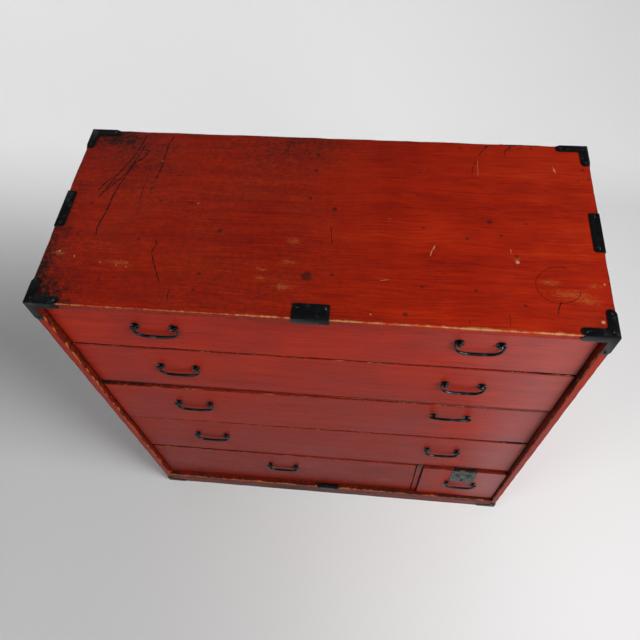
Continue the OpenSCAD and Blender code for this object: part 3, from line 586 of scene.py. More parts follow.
def cut_boxes(obj, boxes):
    """Takes boxes, given in mm, out of a piece's mesh."""
    bm = bmesh.new()
    for low, high in boxes:
        for vert in bmesh.ops.create_cube(bm, size=1.0)["verts"]:
            vert.co = [(low[i] + (vert.co[i] + 0.5) * (high[i] - low[i])) * MM for i in range(3)]
    cutter_mesh = bpy.data.meshes.new("cutter")
    bm.to_mesh(cutter_mesh)
    bm.free()
    cutter = bpy.data.objects.new("cutter", cutter_mesh)
    bpy.context.scene.collection.objects.link(cutter)
    cut = obj.modifiers.new("cut", "BOOLEAN")
    cut.object, cut.operation, cut.solver = cutter, "DIFFERENCE", "EXACT"
    graph = bpy.context.evaluated_depsgraph_get()
    whole = obj.data
    obj.data = bpy.data.meshes.new_from_object(obj.evaluated_get(graph))
    obj.modifiers.clear()
    bpy.data.meshes.remove(whole)
    bpy.data.objects.remove(cutter)
    bpy.data.meshes.remove(cutter_mesh)


# Distances in mm from a board's edge at which its mesh is divided, close enough for a worn arris.
EDGE_STEPS = (0.0, 0.35, 0.9, 1.7, 2.8, 4.2, 6.5)


def divisions(low, high, pitch):
    """Where a board's mesh is divided between two ends in mm: close at the ends, then evenly."""
    steps = [step for step in EDGE_STEPS if step < (high - low) * 0.45]
    first, last = low + steps[-1], high - steps[-1]
    count = max(1, round((last - first) / pitch))
    inner = [first + (last - first) * k / count for k in range(1, count)]
    return [low + step for step in steps] + inner + [high - step for step in reversed(steps)]


def board_mesh(low, high, radius, seed, pitch=11.0):
    """A board between two corners in mm. Its arrises are rounded, and rubbed more in some places."""
    lines = [divisions(low[i], high[i], pitch) for i in range(3)]
    shift = Vector((seed * 37.0, seed * 11.0, seed * 5.0))
    most = min(high[i] - low[i] for i in range(3)) * 0.4
    points, numbers, faces = [], {}, []

    def corner(key):
        if key not in numbers:
            at = Vector([lines[i][key[i]] for i in range(3)])
            rough = noise.fractal((at + shift) / 38.0, 1.0, 2.1, 4)
            bend = min(radius * max(0.45, min(3.0, 1.0 + 1.9 * rough)), most)
            core = Vector([min(max(at[i], low[i] + bend), high[i] - bend) for i in range(3)])
            numbers[key] = len(points)
            points.append((core + (at - core).normalized() * bend) * MM)
        return numbers[key]

    for axis in range(3):
        one, two = (axis + 1) % 3, (axis + 2) % 3
        for end in (0, len(lines[axis]) - 1):
            for a in range(len(lines[one]) - 1):
                for b in range(len(lines[two]) - 1):
                    keys = []
                    for da, db in ((0, 0), (1, 0), (1, 1), (0, 1)):
                        key = [0, 0, 0]
                        key[axis], key[one], key[two] = end, a + da, b + db
                        keys.append(corner(tuple(key)))
                    faces.append(keys if end else keys[::-1])
    mesh = bpy.data.meshes.new("board")
    mesh.from_pydata(points, [], faces)
    smooth(mesh)
    return mesh


def lay_grain(mesh, low, high, along, seed, use):
    """Writes on each point where it lies along the grain, how far from the arris, and its use there."""
    chance = random.Random(seed)
    shift = Vector([chance.uniform(-4000, 4000) for _ in range(3)])
    order = {"X": (0, 1, 2), "Y": (1, 0, 2), "Z": (2, 0, 1)}[along]
    grain, edge, wear, film = [], [], [], []
    for vert in mesh.vertices:
        at = vert.co / MM
        grain.extend(at[k] + shift[k] for k in order)
        edge.append(sorted(min(at[k] - low[k], high[k] - at[k]) for k in range(3))[1])
        worn, dirt_shade_sheen = use(at)
        wear.append(worn)
        film.append(dirt_shade_sheen)
    mesh.attributes.new("grain", "FLOAT_VECTOR", "POINT").data.foreach_set("vector", grain)
    for name, values in (("edge", edge), ("wear", wear), ("film", film)):
        mesh.attributes.new(name, "FLOAT", "POINT").data.foreach_set("value", values)


# The worn strip's width in mm at an arris that isn't rubbed through.
UNWORN = -0.8


def little_used(at):
    """How wide the worn strip along the arris is in mm, below 0 for none, and how dense the film is."""
    return UNWORN, 0.0


def board(name, node, along, finish_name, body, seed, angle=0.0, use=little_used, cuts=()):
    """A worn board in place of a CAD board, turned by a small angle about Z where the drawer is askew."""
    radius = bpy.context.scene.chest_sizes.arris / MM
    low, high = node_box(node, angle)
    mesh = board_mesh(low, high, radius, seed)
    obj = piece(name, mesh, finish_name, body, [node])
    if cuts:
        cut_boxes(obj, cuts)
    lay_grain(obj.data, low, high, along, seed, use)
    if angle:
        obj.data.transform(Matrix.Rotation(angle, 4, "Z"))
    even_shading(obj)


def boards_of(name, node, along, finish_name, body, seed):
    """Worn boards in place of the several boards of one node, joined in one piece."""
    radius = bpy.context.scene.chest_sizes.arris / MM
    joined = bmesh.new()
    for k, points in enumerate(islands(node)):
        low, high = box_of(points)
        mesh = board_mesh(low, high, radius * 0.6, seed + k, pitch=30.0)
        lay_grain(mesh, low, high, along, seed + k, little_used)
        joined.from_mesh(mesh)
        bpy.data.meshes.remove(mesh)
    mesh = bpy.data.meshes.new(name)
    joined.to_mesh(mesh)
    joined.free()
    smooth(mesh)
    obj = piece(name, mesh, finish_name, body, [node])
    even_shading(obj)


def rounded_copy(name, node, finish_name, body, width):
    """A CAD node's shape with its edges rounded, in the node's place."""
    mesh = NODES[node].data.copy()
    bm = bmesh.new()
    bm.from_mesh(mesh)
    bmesh.ops.remove_doubles(bm, verts=bm.verts, dist=1e-6)
    bmesh.ops.dissolve_limit(bm, angle_limit=math.radians(0.5), verts=bm.verts, edges=bm.edges)
    bm.to_mesh(mesh)
    bm.free()
    smooth(mesh)
    obj = piece(name, mesh, finish_name, body, [node])
    bevel = obj.modifiers.new("rounded edges", "BEVEL")
    bevel.width, bevel.segments = width, 2
    bevel.limit_method, bevel.angle_limit = "ANGLE", math.radians(50)
    bevel.harden_normals = True


# --- Case -------------------------------------------------------------------

def share(value, start, end):
    """How far a value has come from a start to an end, held between 0 and 1."""
    return max(0.0, min(1.0, (value - start) / (end - start)))


def bump_at(at, x, y, half_x, half_y):
    """1 at a place on the top board, fading to 0 over half lengths in mm."""
    return math.exp(-((at.x - x) / half_x) ** 2 - ((at.y - y) / half_y) ** 2)


# Where use changes on the case, in mm: X from its middle, Y from the middle of its depth, Z from the floor.
FRONT_FACE = -193.6      # in front of this lies a board's front face
FRONT_REACH = -178.0     # hands and cloths rub as far in as this
SIDE_INSIDE = 438.5      # nearer the middle lies a side's inner face
TOP_ARRIS = 918.0        # above this lies the top board's upper arris
FLOOR_ARRIS = 40.0       # above this lies the bottom board's upper arris
FLOOR_FACE = 48.7        # above this lies the bottom board's upper face
DIVIDER_RIGHT = 234.0    # to the right lies the divider's right arris
DIVIDER_HEAD = 226.0     # above this lies the divider's end under the rail
LOCK_RAIL_TOP = 270.0    # below this lies the rail that the lock's bolt rises into
# Over the lock the soot on the rail and the front also stands for the strike plate's painted shadow.
RAIL_SOOT_SHADOW_HALF = 29.0    # half the width of the soot over the lock on that rail
FRONT_SOOT_SHADOW_HALF = 17.0   # half the width of the soot over the lock on the drawer's front
FRONT_SOOT_SHADOW_FROM = 205.0  # above this lies that soot on the front
# Places on the top where its front arris is rubbed bare, and where it is brown with soot: how much, the
# place, and how far it reaches both ways.
TOP_RUBBED = [(1.5, 254, -194, 45, 20), (1.2, 363, -194, 22, 20)]
TOP_SOOT = [(0.22, -60, 190, 150, 70), (0.22, -345, 120, 60, 70), (0.35, -450, -60, 30, 150),
            (0.95, -450, 194, 75, 42), (0.9, -450, -194, 66, 54), (0.4, 450, -194, 70, 40)]


def top_use(at):
    """Front arris rubbed bare, most to the right. Soot at the back; soot and painted shade at the left end.
    """
    wear = 0.5 + 0.9 * share(at.x, -420, 80) + sum(much * bump_at(at, *where) for much, *where in TOP_RUBBED)
    # Its first term is painted shade over the left half; the TOP_SOOT places add soot.
    film = 0.27 * share(at.x, 170, -50) + sum(much * bump_at(at, *where) for much, *where in TOP_SOOT)
    return wear if at.y < FRONT_REACH and at.z > TOP_ARRIS else -1.2, film


def side_use(at):
    """Drawers' soot and painted shade darken the inner face; dabs near the front arris are rubbed to ochre.
    """
    if abs(at.x) > SIDE_INSIDE:
        return UNWORN, 0.12
    dab = noise.noise(Vector((at.x, at.y / 9, at.z / 13)))
    dab = UNWORN + 18.0 * max(0.0, dab) if at.y < FRONT_REACH else UNWORN
    return min(dab, 0.3) if at.y < FRONT_FACE else dab, 0.7


def low_use(at):
    """Feet and cloths have rubbed the front of the bottom board, in patches."""
    if at.z < FLOOR_ARRIS or at.y > FRONT_REACH:
        return UNWORN, 0.5
    dab = noise.noise(Vector((at.x / 26, at.y / 14, 0.0))) + 0.5 * noise.noise(Vector((at.x / 7, 9.0, 0.0)))
    dab = -0.6 + 5.0 * max(0.0, dab + 0.3)
    return (min(dab, 0.3), 0.5) if at.z < FLOOR_FACE else (min(dab, 2.6), 0.75)


def plinth_use(at):
    """The plinth is darkened, most in the middle."""
    return -0.6, 0.12 + 0.55 * math.exp(-((at.x + 60) / 260) ** 2)


def divider_use(at):
    """Soot and painted shade of the gaps lie on the divider's right arris and under the rail."""
    return -0.6, 0.8 if at.x > DIVIDER_RIGHT or at.z > DIVIDER_HEAD else 0.3


def rail_use(at):
    """Rails are black at the left with soot and painted shade, and rubbed to ochre in short pieces at the
    right.
    """
    # Over the lock: soot and the strike plate's painted shadow.
    if at.z < LOCK_RAIL_TOP and abs(at.x - LOCK_MIDDLE) < RAIL_SOOT_SHADOW_HALF:
        return UNWORN, 6.0
    rubbed = 0.4 + 4.0 * noise.noise(Vector((at.x / 22, at.z, 0.0))) if at.x > -60 else UNWORN
    return rubbed, 0.8 - 0.45 * share(at.x, -330, -80)


# How far scratches and engraved lines stand over the face that they are drawn on, and half the width of a
# common scratch, in mm.
LINE_LIFT = 0.04
SCRATCH_HALF = 0.6


def line_strip(bm, place, points, half, seed, broken=0.18):
    """A thin uneven strip along points (x, y) in mm on a face given by a matrix, such as a scratch."""
    # A smooth curve through the points, about 1.6 mm from one of its places to the next.
    path = []
    ends = [points[0], *points, points[-1]]
    for a, b, c, d in zip(ends, ends[1:], ends[2:], ends[3:]):
        a, b, c, d = (Vector(p) for p in (a, b, c, d))
        count = max(2, round((c - b).length / 1.6))
        for k in range(count):
            t = k / count
            path.append(b + 0.5 * t * ((c - a) + t * ((2 * a - 5 * b + 4 * c - d)
                                                      + t * (3 * (b - c) + d - a))))
    path.append(Vector(points[-1]))
    # It trembles, tapers at both ends and breaks off where it would be too thin.
    last = None
    for k, point in enumerate(path):
        ahead = (path[min(k + 1, len(path) - 1)] - path[max(k - 1, 0)]).normalized()
        side = Vector((-ahead.y, ahead.x))
        at = Vector((point.x / 5.0, point.y / 5.0, seed * 3.1))
        point = point + side * 0.5 * half * noise.noise(at * 0.7)
        taper = min(1.0, (k + 0.6) / 4, (len(path) - k - 0.4) / 4)
        wide = half * taper * max(0.0, 0.85 + 0.9 * noise.noise(at))
        if wide < broken * half:
            last = None
            continue
        pair = [bm.verts.new(place @ Vector((*(point + side * wide * turn), LINE_LIFT)))
                for turn in (1, -1)]
        if last:
            bm.faces.new([last[0], last[1], pair[1], pair[0]])
        last = pair


def bolt_room(above):
    """A box in mm round the lock's bolt, with play at its sides and room above for it to rise."""
    low, high = node_box("lock_bolt")
    play = Vector((0.3, 0.3, 0.0))
    return low - play, high + play + Vector((0.0, 0.0, above))


# The room let into the bottom board for its edge iron: half its width, its reach back and its depth, in mm.
LET_HALF, LET_BACK, LET_DEEP = 29.3, 11.7, 1.2


class CHEST_OT_case_boards(bpy.types.Operator):
    """Build the worn boards of the case"""
    bl_idname = "chest.case_boards"
    bl_label = "Case Boards"

    def execute(self, context):
        board("worn_top_board", "top_board", "X", "red lacquer top", "case", 1, use=top_use)
        board("worn_left_side", "left_side", "Z", "red lacquer", "case", 2, use=side_use)
        board("worn_right_side", "right_side", "Z", "red lacquer", "case", 3, use=side_use)
        board("worn_plinth", "plinth_board", "X", "darkened and shaded lacquer", "case", 4, use=plinth_use)
        front, floor = node_box("bottom_board")[0].y, node_box("bottom_board")[1].z
        let_in = (Vector((-LET_HALF, front - 1, floor - LET_DEEP)),
                  Vector((LET_HALF, front + LET_BACK, floor + 1)))
        board("worn_bottom_board", "bottom_board", "X", "darkened and shaded lacquer", "case", 5,
              use=low_use, cuts=[let_in])
        for k in (1, 2, 3):
            board(f"worn_rail_{k}", f"rail_{k}", "X", "darkened and shaded lacquer", "case", 5 + k, use=rail_use)
        board("worn_rail_4", "rail_4", "X", "darkened and shaded lacquer", "case", 9, use=rail_use,
              cuts=[bolt_room(7)])
        # The divider is notched for the rail, through to its back.
        rail_low, rail_high = node_box("rail_4")
        notch = (rail_low, rail_high + Vector((0, 400, 1)))
        board("worn_divider", "divider", "Z", "red lacquer", "case", 10, use=divider_use,
              cuts=[notch])
        boards_of("worn_back_boards", "back_boards", "X", "bare softwood boards", "case", 11)
        boards_of("worn_shelf_boards", "shelf_boards", "X", "bare softwood boards", "case", 21)
        return {"FINISHED"}


class CHEST_OT_top_scratches(bpy.types.Operator):
    """Draw the scratches on the top board, the sooty ones and the fresh, pale ones"""
    bl_idname = "chest.top_scratches"
    bl_label = "Top Scratches"

    def execute(self, context):
        face = Matrix.Translation((0.0, 0.0, node_box("top_board")[1].z))
        for name, kind, finish_name in (("sooty_scratches", "scratches", "soot in scratches"),
                                        ("pale_scratches", "pale_lines", "bare wood in scratches")):
            bm = bmesh.new()
            for k, (more, *points) in enumerate(TOP_MARKS[kind]):
                line_strip(bm, face, points, SCRATCH_HALF + more, k)
            piece(name, mesh_from(bm, name), finish_name, "case")
        return {"FINISHED"}


# --- Drawers ----------------------------------------------------------------

# Fronts whose top arris is broken away and black at the right end, from where in mm.
CHIPPED_FROM = {2: 372, 3: 384, 4: 384}


def front_use(drawer):
    """Soot and painted shade at a front's top edge, painted shade low down, and a painted sheen at the right.
    """
    top = node_box(f"drawer_{drawer}_front")[1].z

    def use(at):
        # By the lock's strike plate: soot and painted shadow of the strike plate.
        if drawer == 6 and abs(at.x - LOCK_MIDDLE) < FRONT_SOOT_SHADOW_HALF and at.z > FRONT_SOOT_SHADOW_FROM:
            return -1.0, 5.0
        wear = -1.0 + 2.8 * max(0.0, noise.noise(Vector((at.x / 26, at.z / 40, 0.0))) - 0.1)
        # Along the top edge: soot and painted shade of the gap under the drawer above, darker to the left.
        black = 0.3 + 0.5 * share(at.x, -120, -320) if drawer < 6 else 0.6
        if at.x > CHIPPED_FROM.get(drawer, math.inf):
            black = 1.5
        sooty = black * max(0.0, 1.0 - (top - at.z) / 3.5)
        # Painted shade: darker low down and away from the right end.
        brown = 0.42 * max(0.0, 1.0 - at.z / 850) * share(at.x, 390, 190)
        # A pale painted reflection of the bright floor at the right end, stronger low down.
        pale = (0.11 + 0.07 * (1.0 - at.z / 900)) * share(at.x, 110, 390) ** 1.5
        return wear, sooty if sooty > 0.05 else brown - pale
    return use


class CHEST_OT_drawer_fronts(bpy.types.Operator):
    """Build the worn drawer fronts"""
    bl_idname = "chest.drawer_fronts"
    bl_label = "Drawer Fronts"

    def execute(self, context):
        for k in DRAWERS:
            cuts = ()
            if k == 6:
                # Room for the lock's case and bolt, and a keyhole through to them.
                low, high = node_box("lock_bolt")
                middle = (low.x + high.x) / 2
                face = node_box("drawer_6_front")[0].y
                keyhole = (Vector((middle - 3, face - 1, low.z - 13)), Vector((middle + 3, low.y, low.z + 5)))
                cuts = [node_box("lock_case"), bolt_room(9), keyhole]
            board(f"worn_front_{k}", f"drawer_{k}_front", "X", "red lacquer", f"drawer_{k}",
                  30 + k, skew_of(k), front_use(k), cuts)
        return {"FINISHED"}


class CHEST_OT_drawer_boxes(bpy.types.Operator):
    """Give the drawer boxes their bare softwood"""
    bl_idname = "chest.drawer_boxes"
    bl_label = "Drawer Boxes"

    def execute(self, context):
        for k in DRAWERS:
            for part, finish_name in (("sides", "bare softwood sides"), ("back", "bare softwood"),
                                      ("bottom", "bare softwood")):
                coat(NODES[f"drawer_{k}_{part}"].data, finish_name)
        return {"FINISHED"}


# --- Mounts and nails -------------------------------------------------------

class CHEST_OT_iron_mounts(bpy.types.Operator):
    """Build the sheet iron mounts with their folded, rounded edges"""
    bl_idname = "chest.iron_mounts"
    bl_label = "Iron Mounts"

    def execute(self, context):
        width = context.scene.chest_sizes.iron_edge
        for node in ("top_corner_irons", "foot_corner_irons", "edge_irons", "lock_strike"):
            rounded_copy(f"sheet_{node}", node, "blackened iron", "case", width)
        return {"FINISHED"}


def join_rings(bm, below, above):
    """Faces between two rings of points, one of which may be a single point."""
    count = max(len(below), len(above))
    for k in range(count):
        corners = [below[k % len(below)], below[(k + 1) % len(below)],
                   above[(k + 1) % len(above)], above[k % len(above)]]
        bm.faces.new(list(dict.fromkeys(corners)))


def lathe(bm, profile, sides, place, dent=0.0, seed=0):
    """Turns a profile of (radius, height) round Z, at a place given by a matrix in mm."""
    rings = []
    for radius, height in profile:
        ring = []
        for k in range(sides if radius > 0 else 1):
            turn = 2 * math.pi * k / sides
            point = Vector((radius * math.cos(turn), radius * math.sin(turn), height))
            if dent:
                push = noise.noise(point / 1.9 + Vector((seed * 3.7, seed * 1.3, 0.0)))
                point += Vector((point.x, point.y, 0.0)).normalized() * push * dent
                point.z -= abs(push) * dent * 0.6
            ring.append(bm.verts.new(place @ point))
        rings.append(ring)
    for below, above in zip(rings, rings[1:]):
        join_rings(bm, below, above)


def from_to(start, direction):
    """A matrix that lays Z along a direction, from a start in mm."""
    return Matrix.Translation(start) @ direction.to_track_quat("Z", "Y").to_matrix().to_4x4()


def mesh_from(bm, name):
    """The mesh in metres of what was built in mm."""
    bmesh.ops.recalc_face_normals(bm, faces=bm.faces)
    mesh = bpy.data.meshes.new(name)
    bm.to_mesh(mesh)
    bm.free()
    mesh.transform(Matrix.Scale(MM, 4))
    smooth(mesh)
    return mesh


# A nail's shank and the height of its domed head, in mm.
NAIL_RADIUS, NAIL_DOME = 1.1, 1.6


class CHEST_OT_nails(bpy.types.Operator):
    """Build the forged nails, each with its own uneven head"""
    bl_idname = "chest.nails"
    bl_label = "Nails"

    def execute(self, context):
        bm = bmesh.new()
        for k, points in enumerate(islands("iron_nails")):
            low, high = box_of(points)
            size = high - low
            axis = max(range(3), key=lambda i: size[i])
            centre = (low + high) / 2
            # The head is the end whose points lie more than 2 mm from the nail's own axis.
            ends = []
            for point in points:
                away = point - centre
                away[axis] = 0.0
                if away.length > 2.0:
                    ends.append(point[axis])
            outward = 1.0 if sum(ends) / len(ends) > centre[axis] else -1.0
            start, direction = Vector(centre), Vector()
            start[axis] = low[axis] if outward > 0 else high[axis]
            direction[axis] = outward
            head = max(size[i] for i in range(3) if i != axis) / 2
            base = size[axis] - NAIL_DOME
            profile = [(0, 0), (0.5, 0.0), (NAIL_RADIUS, 2.5), (NAIL_RADIUS, base - 0.02),
                       (head * 0.9, base - 0.01), (head * 0.99, base + 0.25), (head * 0.86, base + 0.8),
                       (head * 0.55, base + 1.3), (head * 0.2, base + 1.55), (0, base + NAIL_DOME)]
            lathe(bm, profile, 14, from_to(start, direction), 0.28, k)
        piece("forged_nails", mesh_from(bm, "forged_nails"), "handle iron", "case",
              ["iron_nails"])
        return {"FINISHED"}


# --- Handles ----------------------------------------------------------------

def tube(bm, points, radii, sides):
    """A closed bar through points that lie in the XZ plane, with a radius at each."""
    rings = []
    for k, point in enumerate(points):
        ahead = points[min(k + 1, len(points) - 1)] - points[max(k - 1, 0)]
        ahead.normalize()
        side = Vector((0.0, 1.0, 0.0))
        over = ahead.cross(side).normalized()
        ring = []
        for j in range(sides):
            turn = 2 * math.pi * j / sides
            offset = side * math.sin(turn) + over * math.cos(turn)
            hammered = 1.0 + 0.035 * noise.noise(point / 5.0 + offset * 0.8)
            ring.append(bm.verts.new(point + offset * radii[k] * hammered))
        rings.append(ring)
    for below, above in zip(rings, rings[1:]):
        join_rings(bm, below, above)
    bm.faces.new(rings[0][::-1])
    bm.faces.new(rings[-1])


def bail_mesh(name, sizes, seed):
    """A bail hanging from its hinge on the X axis: a tapered, rounded U with knuckles and pins."""
    bm = bmesh.new()
    drop = sizes.bail_drop / MM
    # The knuckle's and the pin's radius, where the pin ends inside its eye, and where the knuckle stands.
    knuckle, pin, inner = 2.5, 1.55, PITCH / 2 - EYE_HALF - 2.5
    reach = PITCH / 2 + EYE_HALF + 0.4 + knuckle
    steps = 56
    points, radii = [], []
    for k in range(steps + 1):
        # Half a turn of a rounded square: the power makes it fuller than a half circle.
        turn = math.pi * k / steps
        wide, deep = math.cos(turn), math.sin(turn)
        points.append(Vector((math.copysign(abs(wide) ** 0.62, wide) * reach, 0.0, -drop * deep ** 0.62)))
        radii.append((sizes.bail_end + (sizes.bail_middle - sizes.bail_end) * deep) / MM / 2 * 0.99)
    tube(bm, points, radii, 16)
    for side in (-1, 1):
        outward = Vector((side, 0, 0))
        ball = [(0, -knuckle)] + [(knuckle * math.cos(a), knuckle * math.sin(a))
                                  for a in [math.radians(d) for d in range(-70, 71, 20)]] + [(0, knuckle)]
        lathe(bm, ball, 16, from_to(outward * reach, outward), 0.12, seed + side)
        rod = [(0, -2.5), (0.7, -2.45), (0.9, -2.2), (pin, 0.2), (pin, reach - inner)]
        lathe(bm, rod, 14, from_to(outward * inner, outward))
    return mesh_from(bm, name)


class CHEST_OT_bails(bpy.types.Operator):
    """Build the ten forged bail handles"""
    bl_idname = "chest.bails"
    bl_label = "Bail Handles"

    def execute(self, context):
        for k, name in enumerate(BAILS):
            joint = JOINTS[name]
            raised = math.radians(BAIL_LIFT - joint["range_deg"][1])
            skew = skew_of(int(joint["parent"][-1]))
            mesh = bail_mesh(name, context.scene.chest_sizes, k)
            hinge = Matrix.Translation(Vector(joint["pos_m"])) @ Matrix.Rotation(skew, 4, "Z")
            mesh.transform(hinge @ Matrix.Rotation(-raised, 4, "X"))
            piece(f"forged_{name}", mesh, "handle iron", name, [name])
        return {"FINISHED"}


def eye_parts(bm, place, seed):
    """A forged eye on its domed washer, and its tang clenched behind the front. Y points inward."""
    # The ring's radius to the middle of its iron, half the iron's thickness, and half its width.
    ring_radius, wire, half_wide = 3.1, 1.18, 2.9
    sides, around = 12, 28
    rings = []
    for k in range(around):
        turn = 2 * math.pi * k / around
        out = Vector((0.0, math.cos(turn), math.sin(turn)))
        ring = []
        for j in range(sides):
            bend = 2 * math.pi * j / sides
            radial = math.cos(bend) * wire
            across = math.copysign(abs(math.sin(bend)) ** 0.8, math.sin(bend)) * half_wide
            point = Vector((across, -EYE_OUT, 0.0)) + out * (ring_radius + radial)
            point += point.normalized() * 0.1 * noise.noise(point / 2.3 + Vector((seed * 2.1, 0, 0)))
            ring.append(bm.verts.new(place @ point))
        rings.append(ring)
    for below, above in zip(rings, rings[1:] + rings[:1]):
        join_rings(bm, below, above)
    into = place @ from_to(Vector((0, -EYE_OUT + 3.2, 0)), Vector((0, 1, 0)))
    lathe(bm, [(0, 0), (2.4, 0.0), (2.25, 1.0), (2.15, 2.5), (2.15, 17.0), (0, 17.0)], 12, into)
    washer = place @ from_to(Vector((0, 0, 0)), Vector((0, -1, 0)))
    lathe(bm, [(2.1, 0.0), (8.2, 0.0), (8.15, 0.22), (7.6, 0.4), (6.2, 0.68), (4.2, 0.97), (2.1, 1.15)], 28,
          washer, 0.14, seed)
    for up in (-1, 1):
        leg = place @ from_to(Vector((0, 14.8, 0)), Vector((0, 0.06, up)).normalized())
        lathe(bm, [(0, 0), (1.5, 0), (1.3, 9), (0.8, 12.6), (0, 13)], 10, leg, 0.1, seed + up)


class CHEST_OT_eyes(bpy.types.Operator):
    """Build the forged eyes that carry the handles"""
    bl_idname = "chest.eyes"
    bl_label = "Handle Eyes"

    def execute(self, context):
        for k in DRAWERS:
            bm = bmesh.new()
            turn = Matrix.Rotation(skew_of(k), 4, "Z")
            for n, joint in enumerate(hinges_of(k)):
                hinge = Matrix.Translation(Vector(joint["pos_m"]) / MM) @ turn
                for side in (-1, 1):
                    place = hinge @ Matrix.Translation((side * PITCH / 2, EYE_OUT, 0.0))
                    eye_parts(bm, place, 10 * k + 2 * n + side)
            piece(f"forged_eyes_{k}", mesh_from(bm, f"forged_eyes_{k}"), "handle iron", f"drawer_{k}",
                  [f"drawer_{k}_eyes"])
        return {"FINISHED"}


# --- Lock -------------------------------------------------------------------

# The lock plate's engraved lines (half width, then places) and its two bosses, in mm: X from the plate's
# middle, Z from the foot of the front.
LOCK_LINES = [
    [2.6, (-1.5, 153), (-6.5, 156.6), (-11, 156.8), (-17, 154)],
    [2.6, (1.5, 153), (6.5, 155.6), (11.5, 154), (17, 150)],
    [0.5, (-28.5, 166), (-22, 163.5), (-14, 164.5), (-7, 163)],
    [0.5, (6, 163), (13, 164.8), (20, 163.8), (26, 166)],
]
LOCK_BOSSES = [(-12.5, 169), (12.5, 169)]
# How far the bosses stand over the lock plate, and the rim round each as radii and heights, in mm.
BOSS_HEIGHT = 2.4
BOSS_RIM = [(9.2, 0.0), (9.1, 0.45), (8.6, 0.6), (7.6, 0.55), (7.0, 0.0)]


class CHEST_OT_lock(bpy.types.Operator):
    """Build the lock plate, and finish the lock's case and bolt"""
    bl_idname = "chest.lock"
    bl_label = "Lock"

    def execute(self, context):
        rounded_copy("sheet_lock_plate", "lock_plate", "lock iron", "drawer_6",
                     context.scene.chest_sizes.iron_edge)
        plate = node_box("lock_plate")[0].y + BOSS_HEIGHT
        face = Matrix(((1, 0, 0, LOCK_MIDDLE), (0, 0, -1, plate), (0, 1, 0, LOCK_FOOT), (0, 0, 0, 1)))
        lines, rims = bmesh.new(), bmesh.new()
        for k, (half, *points) in enumerate(LOCK_LINES):
            line_strip(lines, face, points, half, 60 + k, broken=0.05)
        for k, (x, z) in enumerate(LOCK_BOSSES):
            lathe(rims, BOSS_RIM, 24, face @ Matrix.Translation((x, z, 0.0)), 0.12, k)
            # A punched dot in the middle of the boss.
            line_strip(lines, face @ Matrix.Translation((x, z, BOSS_HEIGHT)), [(-2, 0.3), (2, 0)], 4.6, k,
                       broken=0.0)
        piece("engraved_lines", mesh_from(lines, "engraved_lines"), "soot in scratches", "drawer_6")
        piece("boss_rims", mesh_from(rims, "boss_rims"), "lock iron", "drawer_6")
        for node in ("lock_case", "lock_bolt"):
            coat(NODES[node].data, "lock iron")
        return {"FINISHED"}


# --- Stage ------------------------------------------------------------------

# The photograph's view, for a square frame: where the camera stands, in m, and how it is turned.
CAMERA_AT = Vector((0.0937, -0.6694, 1.7120))
CAMERA_TURN = math.radians(9.348)
CAMERA_DOWN = math.radians(58.563)
CAMERA_ROLL = math.radians(-4.554)
FOCAL_SHARE = 616.87 / 640
# The floor's radius and the backdrop's curve behind it, as radii and heights in mm.
PAPER_SWEEP = [(0, 0), (2500, 0), (4600, 0), (5400, 180), (5850, 700), (6000, 1500), (6000, 3200)]
# How wide the window is, as an angle seen from the chest.
WINDOW_WIDTH = math.radians(26)


def point_camera(camera):
    """Turns the camera by its heading, its tilt and its roll."""
    ahead = Vector((-math.sin(CAMERA_TURN) * math.cos(CAMERA_DOWN),
                    math.cos(CAMERA_TURN) * math.cos(CAMERA_DOWN), -math.sin(CAMERA_DOWN)))
    level = ahead.cross(Vector((0, 0, 1))).normalized()
    over = level.cross(ahead)
    right = level * math.cos(CAMERA_ROLL) + over * math.sin(CAMERA_ROLL)
    up = over * math.cos(CAMERA_ROLL) - level * math.sin(CAMERA_ROLL)
    turn = Matrix((right, up, -ahead)).transposed().to_4x4()
    camera.matrix_world = Matrix.Translation(CAMERA_AT) @ turn


def shine(light, stand, aim):
    """Stands a light up in the scene, turned towards what it lights."""
    lamp = bpy.data.objects.new(light.name, light)
    bpy.context.scene.collection.objects.link(lamp)
    turn = (stand - aim).to_track_quat("Z", "Y").to_matrix().to_4x4()
    lamp.matrix_world = Matrix.Translation(stand) @ turn


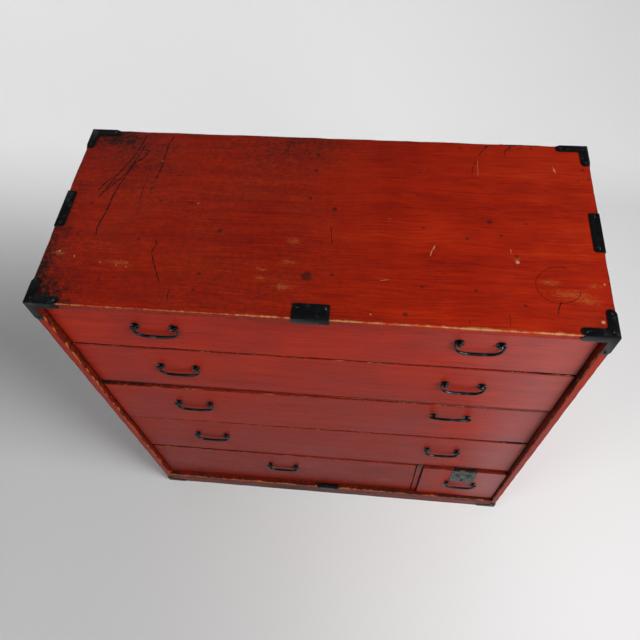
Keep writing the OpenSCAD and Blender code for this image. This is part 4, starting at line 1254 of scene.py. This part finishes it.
class CHEST_OT_stage(bpy.types.Operator):
    """Build the pale floor and backdrop, the lights and the camera"""
    bl_idname = "chest.stage"
    bl_label = "Stage"

    def execute(self, context):
        scene, stage = context.scene, context.scene.chest_stage
        camera = bpy.data.objects.new("camera", bpy.data.cameras.new("camera"))
        scene.collection.objects.link(camera)
        camera.data.sensor_width = 36.0
        camera.data.lens = FOCAL_SHARE * camera.data.sensor_width
        camera.data.clip_start = 0.02
        point_camera(camera)
        scene.camera = camera

        bm = bmesh.new()
        lathe(bm, PAPER_SWEEP, 96, Matrix.Identity(4))
        paper = bpy.data.objects.new("studio_paper", mesh_from(bm, "studio_paper"))
        scene.collection.objects.link(paper)
        paper.data.flip_normals()
        coat(paper.data, "pale paper")

        world = bpy.data.worlds.new("dim room")
        world.use_nodes = True
        world.node_tree.nodes.clear()
        air = add(world.node_tree, "Background", {"Color": linear("#E8EAEE"), "Strength": stage.sky})
        add(world.node_tree, "OutputWorld", {"Surface": air})
        scene.world = world

        # Broad daylight from the right, and a soft box on either side in front.
        window = bpy.data.lights.new("window_light", "SUN")
        window.energy, window.angle = stage.window, WINDOW_WIDTH
        shine(window, Vector((0.77, -0.22, 0.66)), Vector())
        for name, power, size, stand, aim in (
                ("right_light", stage.right, 0.5, Vector((0.98, -0.85, 1.4)), Vector((0.42, -0.1, 0.85))),
                ("left_light", stage.left, 0.8, Vector((-1.2, -1.15, 1.5)), Vector((-0.2, -0.1, 0.8)))):
            box = bpy.data.lights.new(name, "AREA")
            box.energy, box.size = power, size
            shine(box, stand, aim)
        scene.view_settings.view_transform = "Standard"
        return {"FINISHED"}


# --- Panel and registration -------------------------------------------------

OPERATORS = (CHEST_OT_case_boards, CHEST_OT_top_scratches, CHEST_OT_drawer_fronts, CHEST_OT_drawer_boxes,
             CHEST_OT_iron_mounts, CHEST_OT_nails, CHEST_OT_eyes, CHEST_OT_bails, CHEST_OT_lock,
             CHEST_OT_stage)


class VIEW3D_PT_chest(bpy.types.Panel):
    """Lists the chest's pieces and settings"""
    bl_idname = "VIEW3D_PT_chest"
    bl_label = "Lacquered Chest"
    bl_space_type = "VIEW_3D"
    bl_region_type = "UI"
    bl_category = "Chest"

    def draw(self, context):
        layout = self.layout
        for group in (context.scene.chest_finish, context.scene.chest_sizes, context.scene.chest_stage):
            column = layout.column(align=True)
            for key in group.__annotations__:
                column.prop(group, key)
        for operator in OPERATORS:
            layout.operator(operator.bl_idname)


CLASSES = (ChestFinish, ChestSizes, ChestStage, *OPERATORS, VIEW3D_PT_chest)


def register():
    for cls in CLASSES:
        bpy.utils.register_class(cls)
    bpy.types.Scene.chest_finish = PointerProperty(type=ChestFinish)
    bpy.types.Scene.chest_sizes = PointerProperty(type=ChestSizes)
    bpy.types.Scene.chest_stage = PointerProperty(type=ChestStage)


def unregister():
    del bpy.types.Scene.chest_stage
    del bpy.types.Scene.chest_sizes
    del bpy.types.Scene.chest_finish
    for cls in reversed(CLASSES):
        bpy.utils.unregister_class(cls)


def main():
    """Registers the add-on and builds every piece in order."""
    register()
    for operator in OPERATORS:
        group, name = operator.bl_idname.split(".")
        getattr(getattr(bpy.ops, group), name)()


if __name__ == "__main__":
    main()
